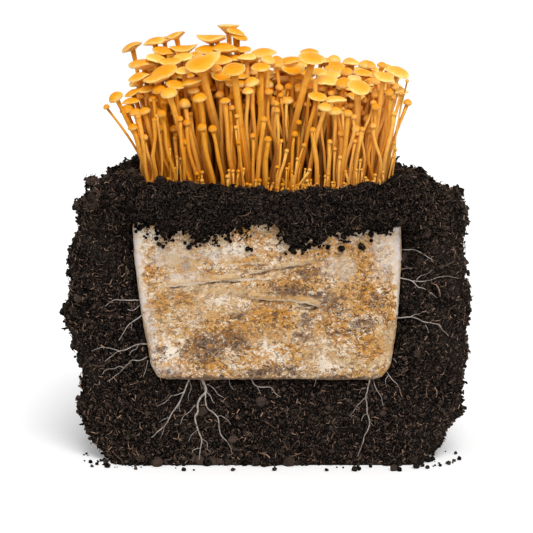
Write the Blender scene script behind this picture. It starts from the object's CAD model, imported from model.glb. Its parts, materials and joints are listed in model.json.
import json
import math

import bmesh
import bpy
import numpy as np
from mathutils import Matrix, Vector, noise
from mathutils.bvhtree import BVHTree

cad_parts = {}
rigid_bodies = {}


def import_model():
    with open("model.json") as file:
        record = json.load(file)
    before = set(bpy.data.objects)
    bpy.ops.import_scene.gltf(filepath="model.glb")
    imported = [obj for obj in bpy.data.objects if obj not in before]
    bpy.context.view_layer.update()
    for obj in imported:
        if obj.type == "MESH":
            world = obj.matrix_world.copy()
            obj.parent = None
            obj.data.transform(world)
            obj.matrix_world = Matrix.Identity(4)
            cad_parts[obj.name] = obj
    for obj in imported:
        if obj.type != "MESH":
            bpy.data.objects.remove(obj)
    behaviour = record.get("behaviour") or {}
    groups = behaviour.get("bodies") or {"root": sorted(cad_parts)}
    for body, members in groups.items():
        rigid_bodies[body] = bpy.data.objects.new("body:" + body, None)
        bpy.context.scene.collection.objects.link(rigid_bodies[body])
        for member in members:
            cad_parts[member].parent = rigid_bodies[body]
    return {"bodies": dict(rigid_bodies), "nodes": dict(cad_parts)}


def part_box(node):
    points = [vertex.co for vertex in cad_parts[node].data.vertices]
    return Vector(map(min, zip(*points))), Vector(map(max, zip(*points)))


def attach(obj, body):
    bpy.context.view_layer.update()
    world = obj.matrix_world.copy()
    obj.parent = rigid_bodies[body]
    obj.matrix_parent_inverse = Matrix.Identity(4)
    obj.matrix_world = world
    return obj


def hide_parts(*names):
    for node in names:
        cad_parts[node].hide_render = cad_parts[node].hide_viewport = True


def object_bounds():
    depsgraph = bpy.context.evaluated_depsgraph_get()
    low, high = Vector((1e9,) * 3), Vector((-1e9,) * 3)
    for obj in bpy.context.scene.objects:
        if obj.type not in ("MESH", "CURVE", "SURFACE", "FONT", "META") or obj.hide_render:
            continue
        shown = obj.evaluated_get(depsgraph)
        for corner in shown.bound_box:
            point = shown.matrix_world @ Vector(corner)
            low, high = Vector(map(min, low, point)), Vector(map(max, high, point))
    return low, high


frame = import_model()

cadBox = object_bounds()
mm = 0.001
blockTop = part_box("substrate_block")[1].z
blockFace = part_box("substrate_block")[0].y
wellFront = -0.053  # front edge of the opening the mushrooms grow out of
bodyName = next(iter(frame["bodies"]))


# camera, light and floor

studio = {
    "tilt": 10,  # degrees the camera looks down
    "distance": 1.215,
    "lookAt": (0, -0.06, 0.151),
    "lens": 110,
    "sensor": 36,
    "farthest": 40,  # metres
    "skyStrength": 0.60,
    "sunStrength": 2.0,
    "sunSoftness": 32,  # degrees
    "sunTurn": (36, 12, 0),
    "floorWhite": 0.96,
    "floorGlow": 0.14,  # added for the camera alone, so that the paper reads as white
    "floorSize": 12,
    "floorGrain": 90,
}


def addCamera():
    tilt = math.radians(studio["tilt"])
    cameraData = bpy.data.cameras.new("photoCamera")
    cameraData.lens = studio["lens"]
    cameraData.sensor_width = studio["sensor"]
    cameraData.clip_end = studio["farthest"]
    cameraObject = bpy.data.objects.new("photoCamera", cameraData)
    away = Vector((0, -math.cos(tilt), math.sin(tilt))) * studio["distance"]
    cameraObject.location = Vector(studio["lookAt"]) + away
    cameraObject.rotation_euler = (math.radians(90) - tilt, 0, 0)
    bpy.context.scene.collection.objects.link(cameraObject)
    bpy.context.scene.camera = cameraObject


def addNode(tree, kind, inputs=(), **settings):
    # adds a shader node; an input is either a value or another node's socket
    node = tree.nodes.new(kind)
    for key, value in settings.items():
        setattr(node, key, value)
    for key, value in dict(inputs).items():
        if isinstance(value, bpy.types.NodeSocket):
            tree.links.new(value, node.inputs[key])
        else:
            node.inputs[key].default_value = value
    return node


def addLight():
    sky = bpy.data.worlds.new("studioSky")
    sky.use_nodes = True
    tree = sky.node_tree
    tree.nodes.clear()
    path = addNode(tree, "ShaderNodeLightPath")
    seen = calc(tree, "MAXIMUM", path.outputs["Is Camera Ray"], path.outputs["Is Glossy Ray"])
    seen = calc(tree, "MAXIMUM", seen, path.outputs["Is Transmission Ray"])
    soft = addNode(tree, "ShaderNodeBackground", {"Color": (1, 1, 1, 1), "Strength": studio["skyStrength"]})
    plain = addNode(tree, "ShaderNodeBackground", {"Color": (1, 1, 1, 1), "Strength": 1})
    both = addNode(tree, "ShaderNodeMixShader", {0: seen, 1: soft.outputs[0], 2: plain.outputs[0]})
    addNode(tree, "ShaderNodeOutputWorld", {"Surface": both.outputs[0]})
    bpy.context.scene.world = sky
    sunData = bpy.data.lights.new("softSun", "SUN")
    sunData.energy = studio["sunStrength"]
    sunData.angle = math.radians(studio["sunSoftness"])
    sunObject = bpy.data.objects.new("softSun", sunData)
    sunObject.rotation_euler = [math.radians(turn) for turn in studio["sunTurn"]]
    bpy.context.scene.collection.objects.link(sunObject)


def deselectAll():
    for thing in list(bpy.context.selected_objects):
        thing.select_set(False)


def makeActive(thing):
    deselectAll()
    thing.select_set(True)
    bpy.context.view_layer.objects.active = thing


def applyModifier(piece, kind, **settings):
    makeActive(piece)
    modifier = piece.modifiers.new(kind.lower(), kind)
    for key, value in settings.items():
        setattr(modifier, key, value)
    bpy.ops.object.modifier_apply(modifier=modifier.name)


def newMaterial(name, roughness, specular=0.5):
    material = bpy.data.materials.new(name)
    material.use_nodes = True
    surface = material.node_tree.nodes["Principled BSDF"]
    surface.inputs["Roughness"].default_value = roughness
    surface.inputs["Specular IOR Level"].default_value = specular
    return material, material.node_tree, surface


def noiseAt(tree, where, scale, detail=3, roughness=0.55, distortion=0.0, shift=0.0):
    if shift:
        where = addNode(tree, "ShaderNodeVectorMath", {0: where, 1: (shift, shift * 0.7, -shift)},
                        operation="ADD").outputs[0]
    made = addNode(tree, "ShaderNodeTexNoise", {"Vector": where, "Scale": scale, "Detail": detail,
                                                "Roughness": roughness, "Distortion": distortion})
    return made.outputs["Fac"]


def band(tree, value, low, high, outLow=0.0, outHigh=1.0):
    # a smooth ramp from low to high
    made = addNode(tree, "ShaderNodeMapRange", {"Value": value, "From Min": low, "From Max": high,
                                                "To Min": outLow, "To Max": outHigh},
                   interpolation_type="SMOOTHSTEP")
    return made.outputs["Result"]


def calc(tree, operation, first, second=0.0, clamp=False):
    # a Math node; times, plus and minus below are the three that are used most
    made = addNode(tree, "ShaderNodeMath", {0: first, 1: second}, operation=operation, use_clamp=clamp)
    return made.outputs[0]


def times(tree, first, second, clamp=False):
    return calc(tree, "MULTIPLY", first, second, clamp)


def plus(tree, first, second, clamp=False):
    return calc(tree, "ADD", first, second, clamp)


def minus(tree, first, second, clamp=False):
    return calc(tree, "SUBTRACT", first, second, clamp)


def blendColours(tree, share, first, second):
    made = addNode(tree, "ShaderNodeMix", (), data_type="RGBA", blend_type="MIX")
    for socket, value in ((made.inputs[0], share), (made.inputs[6], first), (made.inputs[7], second)):
        if isinstance(value, bpy.types.NodeSocket):
            tree.links.new(value, socket)
        else:
            socket.default_value = (*value, 1) if isinstance(value, tuple) else value
    return made.outputs[2]


def attributeOf(tree, name, output="Fac"):
    return addNode(tree, "ShaderNodeAttribute", (), attribute_name=name).outputs[output]


def addBump(tree, surface, height, distance, strength=1.0):
    bump = addNode(tree, "ShaderNodeBump", {"Height": height, "Distance": distance, "Strength": strength})
    tree.links.new(bump.outputs[0], surface.inputs["Normal"])


def objectPlace(tree):
    return addNode(tree, "ShaderNodeTexCoord").outputs["Object"]


def addFloor():
    deselectAll()
    bpy.ops.mesh.primitive_plane_add(size=studio["floorSize"], location=(0, 0, 0))
    floor = bpy.context.object
    floor.name = "studioFloor"
    material, tree, surface = newMaterial("floorPaper", 0.9, 0.1)
    white = studio["floorWhite"]
    grain = noiseAt(tree, objectPlace(tree), studio["floorGrain"], 2)
    tree.links.new(blendColours(tree, grain, (white, white, white), (white - 0.01,) * 3),
                   surface.inputs["Base Color"])
    path = addNode(tree, "ShaderNodeLightPath")
    glow = times(tree, path.outputs["Is Camera Ray"], studio["floorGlow"])
    surface.inputs["Emission Color"].default_value = (1, 1, 1, 1)
    tree.links.new(glow, surface.inputs["Emission Strength"])
    floor.data.materials.append(material)


addCamera()
addLight()
addFloor()
bpy.context.scene.view_settings.view_transform = "Standard"
print("stage: camera, light and floor")


# helpers for meshes

def copyNode(nodeName, pieceName):
    # a merged copy of a CAD node's mesh, as a new piece
    mesh = frame["nodes"][nodeName].data.copy()
    mesh.name = pieceName
    mesh.materials.clear()
    piece = bpy.data.objects.new(pieceName, mesh)
    bpy.context.scene.collection.objects.link(piece)
    makeActive(piece)
    bpy.ops.mesh.customdata_custom_splitnormals_clear()
    bpy.ops.object.mode_set(mode="EDIT")
    bpy.ops.mesh.select_all(action="SELECT")
    bpy.ops.mesh.remove_doubles(threshold=0.00001)
    bpy.ops.object.mode_set(mode="OBJECT")
    return piece


def readPoints(mesh):
    points = np.empty(len(mesh.vertices) * 3, np.float32)
    mesh.vertices.foreach_get("co", points)
    return points.reshape(-1, 3).astype(float)


def readNormals(mesh):
    normals = np.empty(len(mesh.vertices) * 3, np.float32)
    mesh.vertex_normals.foreach_get("vector", normals)
    return normals.reshape(-1, 3).astype(float)


def writePoints(mesh, points):
    mesh.vertices.foreach_set("co", np.asarray(points, np.float32).ravel())
    mesh.update()


def addValues(mesh, name, values):
    # one number or one vector for each vertex
    values = np.asarray(values, np.float32)
    kind, field = ("FLOAT", "value") if values.ndim == 1 else ("FLOAT_VECTOR", "vector")
    mesh.attributes.new(name, kind, "POINT").data.foreach_set(field, values.ravel())


def noiseOf(points, scale, shift=0.0):
    return np.array([noise.noise(Vector(point) * scale + Vector((shift, shift, shift))) for point in points])


def pieceFromArrays(name, points, faces, material, values=()):
    mesh = bpy.data.meshes.new(name)
    mesh.from_pydata(points.tolist(), [], faces.tolist() if isinstance(faces, np.ndarray) else faces)
    for key, numbers in dict(values).items():
        addValues(mesh, key, numbers)
    mesh.materials.append(material)
    piece = bpy.data.objects.new(name, mesh)
    bpy.context.scene.collection.objects.link(piece)
    return piece


def smoothThrough(points, places):
    # a smooth line through the points, read at places from 0 to the last point's number
    points = np.asarray(points, float)
    padded = np.vstack([2 * points[0] - points[1], points, 2 * points[-1] - points[-2]])
    index = np.clip(np.asarray(places).astype(int), 0, len(points) - 2)
    t = (np.asarray(places) - index)[:, None]
    a, b, c, d = (padded[index + step] for step in range(4))
    return 0.5 * (2 * b + (c - a) * t + (2 * a - 5 * b + 4 * c - d) * t**2 + (3 * b - a - 3 * c + d) * t**3)


def smoothStep(low, high, values):
    t = np.clip((values - low) / (high - low), 0, 1)
    return t * t * (3 - 2 * t)


def unit(vector):
    return vector / np.linalg.norm(vector)


def unitRows(vectors):
    return vectors / np.linalg.norm(vectors, axis=1)[:, None]


def frontHit(tree, across, height):
    # where a ray from the front meets the surface
    return tree.ray_cast(Vector((across, -1, height)), Vector((0, 1, 0)))[0]


# substrate block

blockLook = {
    "voxel": 1.35 * mm,
    "waveHeight": 0.7 * mm,
    "waveScale": 42,
    "grainHeight": 0.4 * mm,
    "grainScale": 260,
    "pitDepth": 0.7 * mm,
    "pitScale": 150,
    "creaseDepth": 2.0 * mm,
    "creaseWidth": 1.2 * mm,
    "ridgeHeight": 1.6 * mm,
    "ridgeAside": 3.0 * mm,  # from the crease to the ridge above it
    "ridgeWidth": 2.0 * mm,
    "warps": [(170, 4.0, 3.0, 9.0), (430, 3.0, 5.0, 7.0)],  # scale, reach in millimetres and two shifts
    "patchFade": (0.3, 1.5),  # where a patch starts to fade and ends, as shares of its half size
    "cream": (0.66, 0.455, 0.245),
    "white": (0.86, 0.75, 0.61),
    "ochre": (0.60, 0.315, 0.075),
    "orange": (0.50, 0.205, 0.016),
    "brown": (0.165, 0.070, 0.018),
    "greyBrown": (0.195, 0.138, 0.100),
    "film": (0.57, 0.405, 0.235),
    "dark": (0.042, 0.020, 0.010),
    "lilac": (0.68, 0.62, 0.61),
    "tan": (0.52, 0.345, 0.165),
    "creasePale": (0.70, 0.51, 0.30),
    "veinScale": 215,  # cells to a metre of the network of veins
    "veinBend": 7 * mm,
    "grooveDark": 1.7,
    "footHeights": (3 * mm, 6 * mm),  # the darker edge at the block's foot
    "bumpHeight": 0.5 * mm,
    "coat": 0.06,
    "coatRoughness": 0.25,
}

# creases on the block's face: strength, and the line as (across, height) in millimetres
blockCreases = [
    (1.0, [(-81, 136.5), (-59, 138.5), (-41, 141), (-24, 142.3), (-11, 143), (0, 143.4), (11, 144.2)]),
    (0.85, [(-16, 146.6), (-5, 148.2), (6, 150.4), (16, 152), (27, 153.8), (38, 156)]),
    (0.9, [(-15, 130), (-5, 128), (30, 125), (40, 121)]),
    (0.35, [(-41, 153), (-20, 154.5), (4, 155)]),
    (0.9, [(20, 122), (38, 121)]),
]

# coloured patches on the face: (across, height, half width, half height) in millimetres
blockPatches = {
    "white": [(-70, 89, 9, 13), (-85, 129, 4, 3), (7, 87, 12, 7), (45, 80, 9, 5), (55, 98, 4, 4),
              (-86, 176, 9, 6), (-14, 169, 16, 6), (-3, 89, 7, 9), (-38, 128, 10, 4), (-53, 72, 13, 2)],
    "lilac": [(-98, 158, 5.5, 32), (-94.5, 116, 4, 26), (98, 160, 4, 27), (98, 128, 2, 17)],
    "haze": [(-70, 160, 18, 9), (53, 152, 12, 9), (-30, 163, 20, 5), (-75, 75, 14, 4), (60, 175, 9, 5),
             (86, 165, 10, 22), (-88, 100, 6, 24), (-60, 145, 16, 5)],
    "grey": [(-46, 92, 16, 10), (-23, 95, 10, 7), (-78, 91, 4, 4), (-77, 84, 3, 3), (29, 113, 5, 7),
             (50, 123, 8, 7), (72, 109, 9, 4), (-61, 158, 4, 4), (-22, 116, 5, 4), (17, 134, 16, 6),
             (-3, 74, 12, 3), (38, 128, 12, 7), (55, 103, 7, 3), (13, 74, 19, 2), (82, 128, 4, 7),
             (-72, 72, 10, 2), (25, 101, 6, 4), (34, 147, 10, 4), (-55, 67, 32, 2.2), (5, 66.5, 30, 2.2),
             (60, 67.5, 26, 1.8)],
    "orange": [(-84, 152, 5, 7), (-79, 125, 10, 10), (-59, 152, 7, 7), (-40, 109, 9, 7), (-20, 106, 15, 10),
               (1, 115, 19, 13), (75, 161, 9, 16), (63, 135, 16, 12), (59, 173, 9, 6), (31, 152, 9, 6),
               (-49, 146, 9, 3), (-15, 157, 10, 4), (25, 138, 18, 4), (89, 122, 6, 13), (44, 112, 4, 4),
               (-11, 90, 6, 4), (77, 94, 9, 10), (17, 90, 7, 4), (-46, 81, 10, 4), (-62, 129, 8, 6)],
    "tan": [(-66, 158, 15, 6), (57, 155, 10, 9), (58, 81, 10, 4), (-57, 154, 7, 7), (-31, 136, 25, 3),
            (90, 94, 7, 16)],
    "dark": [(-30, 102, 8, 4), (45, 156, 2, 2), (44, 112, 2, 2), (-36, 100, 2, 2), (22, 122, 5, 1),
             (31, 122, 4, 1), (38, 121, 3, 1), (-86, 115, 2, 1), (13, 126, 7, 1), (-6, 144, 10, 1),
             (25, 149, 10, 1), (-17, 133, 4, 2), (14, 133, 12, 3)],
}


def nearestOnLine(x, z, line):
    # distance from each point to the line, positive above it, and how far along it the nearest place is
    best, aside, along = np.full(len(x), 1e9), np.zeros(len(x)), np.zeros(len(x))
    for index in range(len(line) - 1):
        start, end = np.array(line[index], float) * mm, np.array(line[index + 1], float) * mm
        run = end - start
        share = np.clip(((x - start[0]) * run[0] + (z - start[1]) * run[1]) / (run @ run), 0, 1)
        dx, dz = x - start[0] - share * run[0], z - start[1] - share * run[1]
        distance = np.hypot(dx, dz)
        closer = distance < best
        best[closer] = distance[closer]
        aside[closer] = np.copysign(distance, dz)[closer]
        along[closer] = (index + share[closer]) / (len(line) - 1)
    return aside, along


def makeBlockMaterial():
    material, tree, surface = newMaterial("myceliumFilm", 0.5, 0.25)
    place = objectPlace(tree)
    where = addNode(tree, "ShaderNodeMapping", {"Vector": place, "Scale": (0.9, 1, 1.15)}).outputs[0]
    patches = {name: attributeOf(tree, name) for name in blockPatches}
    colour = blockLook["cream"]

    def cover(share, name):
        nonlocal colour
        colour = blendColours(tree, share, colour, blockLook[name])

    def layer(name, speckle, low, high, strength, leaning):
        # lays a colour where its speckle is high; a patch with a positive lean brings more of it
        for patch, lean in leaning.items():
            speckle = plus(tree, speckle, times(tree, patches[patch], lean))
        share = band(tree, speckle, low, high, 0, strength)
        cover(share, name)
        return share

    # noise by scale, detail, roughness, distortion and shift; then where a colour starts and is full
    broad = noiseAt(tree, where, 50, 3, 0.5)
    middle = noiseAt(tree, where, 130, 5, 0.68, 0.5)
    fine = noiseAt(tree, where, 300, 4, 0.7, 0.8)
    layer("white", middle, 0.48, 0.54, 0.9, {"white": 0.07, "orange": -0.03})
    layer("tan", broad, 0.50, 0.66, 0.6, {"tan": 0.16, "haze": 0.05})
    layer("ochre", noiseAt(tree, where, 120, 6, 0.75, 0.6, 0.3), 0.50, 0.545, 0.92,
          {"orange": 0.11, "white": -0.07, "haze": -0.03, "grey": -0.03, "lilac": -0.5})
    layer("greyBrown", noiseAt(tree, where, 170, 5, 0.78, 1.0, 1.1), 0.535, 0.58, 0.85,
          {"grey": 0.165, "haze": 0.02, "white": -0.04, "lilac": -0.5})
    webs = layer("white", noiseAt(tree, where, 260, 4, 0.74, 1.3, 1.9), 0.535, 0.575, 0.92,
                 {"white": 0.06, "orange": -0.02, "grey": -0.03})
    bend = addNode(tree, "ShaderNodeTexNoise", {"Vector": where, "Scale": 240, "Detail": 3,
                                                "Roughness": 0.65})
    bend = addNode(tree, "ShaderNodeVectorMath", {0: bend.outputs["Color"], 1: (blockLook["veinBend"],) * 3,
                                                  2: where}, operation="MULTIPLY_ADD")
    cells = addNode(tree, "ShaderNodeTexVoronoi", {"Vector": bend.outputs[0],
                                                   "Scale": blockLook["veinScale"]},
                    feature="DISTANCE_TO_EDGE")
    veins = times(tree, band(tree, cells.outputs["Distance"], 0.04, 0.17, 1, 0),
                  band(tree, noiseAt(tree, where, 75, 3, 0.6, 0, 4.3), 0.44, 0.56))
    veins = minus(tree, veins, patches["lilac"], True)
    cover(times(tree, veins, 0.85), "orange")
    layer("orange", noiseAt(tree, where, 280, 4, 0.72, 1.1, 0.7), 0.555, 0.59, 0.92,
          {"orange": 0.075, "white": -0.035, "haze": -0.04, "lilac": -0.5})
    layer("brown", noiseAt(tree, where, 300, 3, 0.7, 1.0, 2.3), 0.55, 0.585, 0.9,
          {"orange": 0.04, "grey": 0.06, "white": -0.03, "lilac": -0.5})
    layer("dark", noiseAt(tree, where, 300, 4, 0.75, 1.2, 2.9), 0.57, 0.60, 0.92,
          {"grey": 0.07, "orange": 0.01, "white": -0.03, "lilac": -0.5})
    # a thin film over it all, thickest at the hazy patches
    film = plus(tree, band(tree, noiseAt(tree, where, 34, 3, 0.55, 0, 6.1), 0.44, 0.60, 0.0, 0.3),
                times(tree, patches["haze"], 0.22))
    film = minus(tree, film, times(tree, patches["orange"], 0.2))
    film = minus(tree, film, times(tree, patches["grey"], 0.25), True)
    cover(film, "film")
    cover(times(tree, patches["grey"], band(tree, fine, 0.46, 0.56, 0.0, 0.45)), "greyBrown")
    # creases: a pale fold, a white ridge and a broken dark groove beside each
    wander = times(tree, minus(tree, middle, 0.5), 5.0)
    aside = plus(tree, attributeOf(tree, "creaseAside"), wander)
    fade = attributeOf(tree, "creaseFade")

    def nearCrease(offset, low, high, strength):
        # strongest on the line that runs beside the crease at this offset, in millimetres
        return band(tree, calc(tree, "ABSOLUTE", minus(tree, aside, offset)), low, high, strength, 0)

    along = addNode(tree, "ShaderNodeMapping", {"Vector": place, "Rotation": (0, math.radians(7), 0),
                                                "Scale": (0.13, 1, 1.2)}).outputs[0]
    streaks = noiseAt(tree, along, 330, 4, 0.65, 0.3)
    foldColour = blendColours(tree, band(tree, streaks, 0.42, 0.58), blockLook["ochre"],
                              blockLook["creasePale"])
    colour = blendColours(tree, times(tree, nearCrease(2.6, 1.6, 4.2, 0.85), fade), colour, foldColour)
    cover(times(tree, nearCrease(1.2, 0.3, 1.1, 0.8), fade), "white")
    broken = band(tree, noiseAt(tree, where, 60, 3, 0.6, 0, 3.7), 0.44, 0.56, 0.15, 0.95)
    groove = times(tree, times(tree, nearCrease(-0.35, 0.3, 0.95, 1), fade),
                   times(tree, broken, blockLook["grooveDark"]), True)
    cover(groove, "dark")
    # patches that lie on top, and the dark foot
    for patch, name, speckle, ramp in (("haze", "lilac", fine, (0.42, 0.60, 0.05, 0.55)),
                                       ("tan", "tan", middle, (0.42, 0.58, 0.2, 0.7)),
                                       ("lilac", "lilac", middle, (0.40, 0.56, 0.4, 0.92)),
                                       ("dark", "brown", fine, (0.42, 0.56, 0.1, 0.85))):
        cover(times(tree, patches[patch], band(tree, speckle, *ramp)), name)
    height = addNode(tree, "ShaderNodeSeparateXYZ", {"Vector": place}).outputs[2]
    height = minus(tree, height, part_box("substrate_block")[0].z)
    foot = band(tree, plus(tree, height, times(tree, middle, 4 * mm)), *blockLook["footHeights"], 0.85, 0)
    cover(foot, "greyBrown")
    tree.links.new(colour, surface.inputs["Base Color"])
    tree.links.new(band(tree, middle, 0.4, 0.6, 0.34, 0.6), surface.inputs["Roughness"])
    surface.inputs["Coat Weight"].default_value = blockLook["coat"]
    surface.inputs["Coat Roughness"].default_value = blockLook["coatRoughness"]
    addBump(tree, surface, plus(tree, fine, times(tree, webs, 0.35)), blockLook["bumpHeight"], 0.7)
    return material


def makeBlock():
    # the block's skin: patches for the material, soft waves, pits, and the creases pressed into its face
    piece = copyNode("substrate_block", "substrateBlock")
    applyModifier(piece, "REMESH", mode="VOXEL", voxel_size=blockLook["voxel"])
    mesh = piece.data
    points, normals = readPoints(mesh), readNormals(mesh)
    x, z = points[:, 0], points[:, 2]
    facing = smoothStep(0.1, 0.6, -normals[:, 1])
    warped = np.zeros((len(points), 2))
    for scale, reach, *shifts in blockLook["warps"]:
        warped += np.stack([noiseOf(points, scale, shift) for shift in shifts], axis=1) * reach * mm
    smooth = np.zeros(len(points))
    for name, rows in blockPatches.items():
        value = np.zeros(len(points))
        for across, height, halfWidth, halfHeight in rows:
            reach = np.hypot((x + warped[:, 0] - across * mm) / (halfWidth * mm),
                             (z + warped[:, 1] - height * mm) / (halfHeight * mm))
            value = np.maximum(value, 1 - smoothStep(*blockLook["patchFade"], reach))
        addValues(mesh, name, value * facing)
        if name in ("lilac", "haze"):
            smooth = np.maximum(smooth, value * facing * (1 if name == "lilac" else 0.5))
    out = blockLook["waveHeight"] * noiseOf(points, blockLook["waveScale"])
    grain = blockLook["grainHeight"] * noiseOf(points, blockLook["grainScale"])
    pits = np.minimum(0, noiseOf(points, blockLook["pitScale"], 5.0) + 0.12) * 2 * blockLook["pitDepth"]
    out += (grain + pits) * (1 - 0.8 * smooth)
    nearest, nearestFade = np.full(len(points), 9.0), np.zeros(len(points))
    for strength, line in blockCreases:
        aside, along = nearestOnLine(x, z, line)
        fade = strength * facing * smoothStep(0, 0.12, along) * smoothStep(0, 0.12, 1 - along)
        fade = fade * (0.65 + 0.5 * noiseOf(points, 60, 2.0))
        closer = np.abs(aside) / mm < np.abs(nearest)
        nearest[closer], nearestFade[closer] = aside[closer] / mm, fade[closer]
        out -= blockLook["creaseDepth"] * np.exp(-(aside / blockLook["creaseWidth"]) ** 2) * fade
        ridge = (aside - blockLook["ridgeAside"]) / blockLook["ridgeWidth"]
        out += blockLook["ridgeHeight"] * np.exp(-ridge ** 2) * fade
    addValues(mesh, "creaseAside", nearest)
    addValues(mesh, "creaseFade", nearestFade)
    writePoints(mesh, points + normals * out[:, None])
    mesh.materials.append(makeBlockMaterial())
    makeActive(piece)
    bpy.ops.object.shade_smooth()
    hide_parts("substrate_block")
    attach(piece, bodyName)


makeBlock()
print("stage: substrate block")


# soil

soilLook = {
    "voxel": 2.1 * mm,
    "edgeHeight": 8 * mm,
    "edgeScale": 40,
    "raggedHeight": 4.5 * mm,
    "raggedScale": 115,
    "lumpHeight": 2.6 * mm,
    "lumpScale": 70,
    "clodHeight": 2.3 * mm,
    "clodScale": 150,
    "crumbHeight": 0.9 * mm,
    "crumbScale": 320,
    "black": (0.0020, 0.0021, 0.0023),
    "darkBrown": (0.0140, 0.0118, 0.0106),
    "brown": (0.094, 0.066, 0.051),
    "palest": (0.47, 0.29, 0.195),
    "blackHeights": (0.155, 0.18),  # metres: above these and between these the soil is blackest
    "blackAcross": (0.09, 0.135),
    "brownAcross": (0.10, 0.15),  # metres: outside these it is browner
    "bumpHeight": 0.9 * mm,
}
crumbLook = {
    "seeds": {"soilCrumbsFace": 11, "soilCrumbsTop": 12, "soilCrumbsSides": 13, "soilClods": 14,
              "soilFlecksFace": 21, "soilFibres": 22, "soilFlecksSides": 23, "soilLipCrumbs": 31,
              "soilFloorCrumbs": 41, "soilKnobs": 51, "soilEdgeClumps": 61},
    "sink": 0.35,  # how deep a crumb may lie in the surface, as a share of its size
    # random sizes as the least, what is added at most, and a power that favours the small, in millimetres
    "lipCrumbSizes": (0.4, 1.25, 1.8),
    "lipClodSizes": (1.0, 2.4, 1.6),
    "lipClumpSizes": (0.9, 1.3, 1.5),
    "footSizes": (1.6, 3.2, 2),
    "floorSizes": (0.5, 1.6, 2.5),
    "edgeClumpSizes": (0.6, 1.4, 1.7),
    # clods, as smallest, largest and power; flecks and fibres, as power, lift off the surface and tilt
    "clodSizes": (1.8 * mm, 4.4 * mm, 2.2),
    "fleckScatter": (2.0, 1.5 * mm, 0.5),
    "fibreScatter": (2.4, 1.6 * mm, 0.25),
    "faceCount": 6600,
    "topCount": 2650,
    "sideCount": 3700,
    "clodCount": 760,
    "smallest": 0.5 * mm,  # half size
    "largest": 2.4 * mm,
    "faceFlecks": 13500,
    "sideFlecks": 6000,
    "fleckSmallest": 0.5 * mm,  # half length
    "fleckLargest": 2.0 * mm,
    "fibreCount": 860,
    "fibreSmallest": 2.2 * mm,
    "fibreLargest": 7.0 * mm,
    "edgeClumps": 800,
    "lipClumps": 95,
    "lipCrumbs": 4.0,  # how many for each half millimetre of the lip's edge
    "lipClods": 1.2 * mm,  # spacing of the clods that make the lip ragged
    # brown knobs at the soil's outline, as (across, front to back, height) and half size, in millimetres
    "knobs": [(-132, -30, 211, 4.2), (-121, -34, 213, 3.6), (-142, -38, 194, 3.6), (-129, -60, 199, 6.0),
              (-137, -50, 184, 3.0), (142, -48, 151, 4.8), (145, -45, 138, 4.8), (120, -34, 209, 5.0),
              (143, -34, 201, 4.5), (134, -38, 206, 3.6), (-140, -45, 92, 5.5), (-146, -40, 120, 4.5),
              (138, -50, 60, 6.0), (130, -48, 24, 6.5), (-128, -46, 30, 5.5), (-100, -50, 219, 3.5),
              (144, 10, 120, 6.5), (-146, 20, 150, 6.0), (140, 40, 190, 5.0), (-140, 45, 60, 6.5),
              (60, 74, 120, 6.0), (-70, 76, 160, 6.5), (-20, 76, 60, 6.0), (100, 70, 40, 6.0)],
    # single clods on the block's face and on the floor, in millimetres, with their half sizes
    "faceClods": [(55, 167, 3.9), (70, 168, 3.9), (57, 175.5, 2.6), (77, 178, 3.2), (77, 172.5, 1.9),
                  (45, 168, 2.8), (-14, 167, 2.6), (-11, 166, 2.0), (-57, 168, 2.6), (-55, 170, 2.0),
                  (-60, 171, 1.8), (-79, 170, 2.4), (-76, 168, 1.8), (-81, 174, 2.2), (-96, 179, 1.7),
                  (18, 166, 2.4), (21, 164, 1.9), (14, 163, 1.7), (38, 172, 2.0), (-30, 174, 1.8)],
    "floorClods": [(66, -84, 2.6), (69, -81, 2.2), (95, -83, 3.2), (99, -84, 2.4), (113, -76, 3.6),
                   (121, -78, 1.8), (143, -60, 1.6), (45, -84, 1.6), (-62, -84, 2.0), (-25, -84, 1.8),
                   (6, -83, 2.2), (-98, -80, 1.6), (-120, -75, 2.4), (138, -68, 1.5)],
    "floorCount": 90,
    "footCount": 170,
}


def makeSoilMaterial(name, loose):
    material, tree, surface = newMaterial(name, 0.95, 0.0)
    where = objectPlace(tree)
    broad = noiseAt(tree, where, 24, 3, 0.6)
    middle = noiseAt(tree, where, 260, 4, 0.7, 0.5)
    tiny = noiseAt(tree, where, 900, 3, 0.7)
    flakes = noiseAt(tree, where, 520, 3, 0.62, 2.2, 0.4)
    parts = addNode(tree, "ShaderNodeSeparateXYZ", {"Vector": where})
    across = calc(tree, "ABSOLUTE", parts.outputs[0])
    outward = band(tree, across, *soilLook["brownAcross"], 0.2, 0.9)
    blacker = times(tree, band(tree, parts.outputs[2], *soilLook["blackHeights"]),
                    band(tree, across, *soilLook["blackAcross"], 1, 0))
    blacker = times(tree, blacker, band(tree, broad, 0.40, 0.60, 0.85, 0.35))
    browner = times(tree, band(tree, broad, 0.42, 0.62), outward)
    colour = blendColours(tree, plus(tree, browner, band(tree, middle, 0.52, 0.68, 0, 0.5), True),
                          soilLook["black"], soilLook["darkBrown"])
    if loose:
        tone = attributeOf(tree, "tone")
        colour = blendColours(tree, band(tree, tone, 0.62, 1.0, 0, 0.7), colour, soilLook["brown"])
        colour = blendColours(tree, band(tree, tone, 1.0, 2.0), colour, soilLook["palest"])
    colour = blendColours(tree, times(tree, blacker, 0.9), colour, soilLook["black"])
    colour = blendColours(tree, band(tree, flakes, 0.545, 0.61, 0, 0.85), colour, soilLook["brown"])
    tree.links.new(colour, surface.inputs["Base Color"])
    addBump(tree, surface, plus(tree, middle, times(tree, tiny, 0.7)), soilLook["bumpHeight"], 0.9)
    return material


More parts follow.
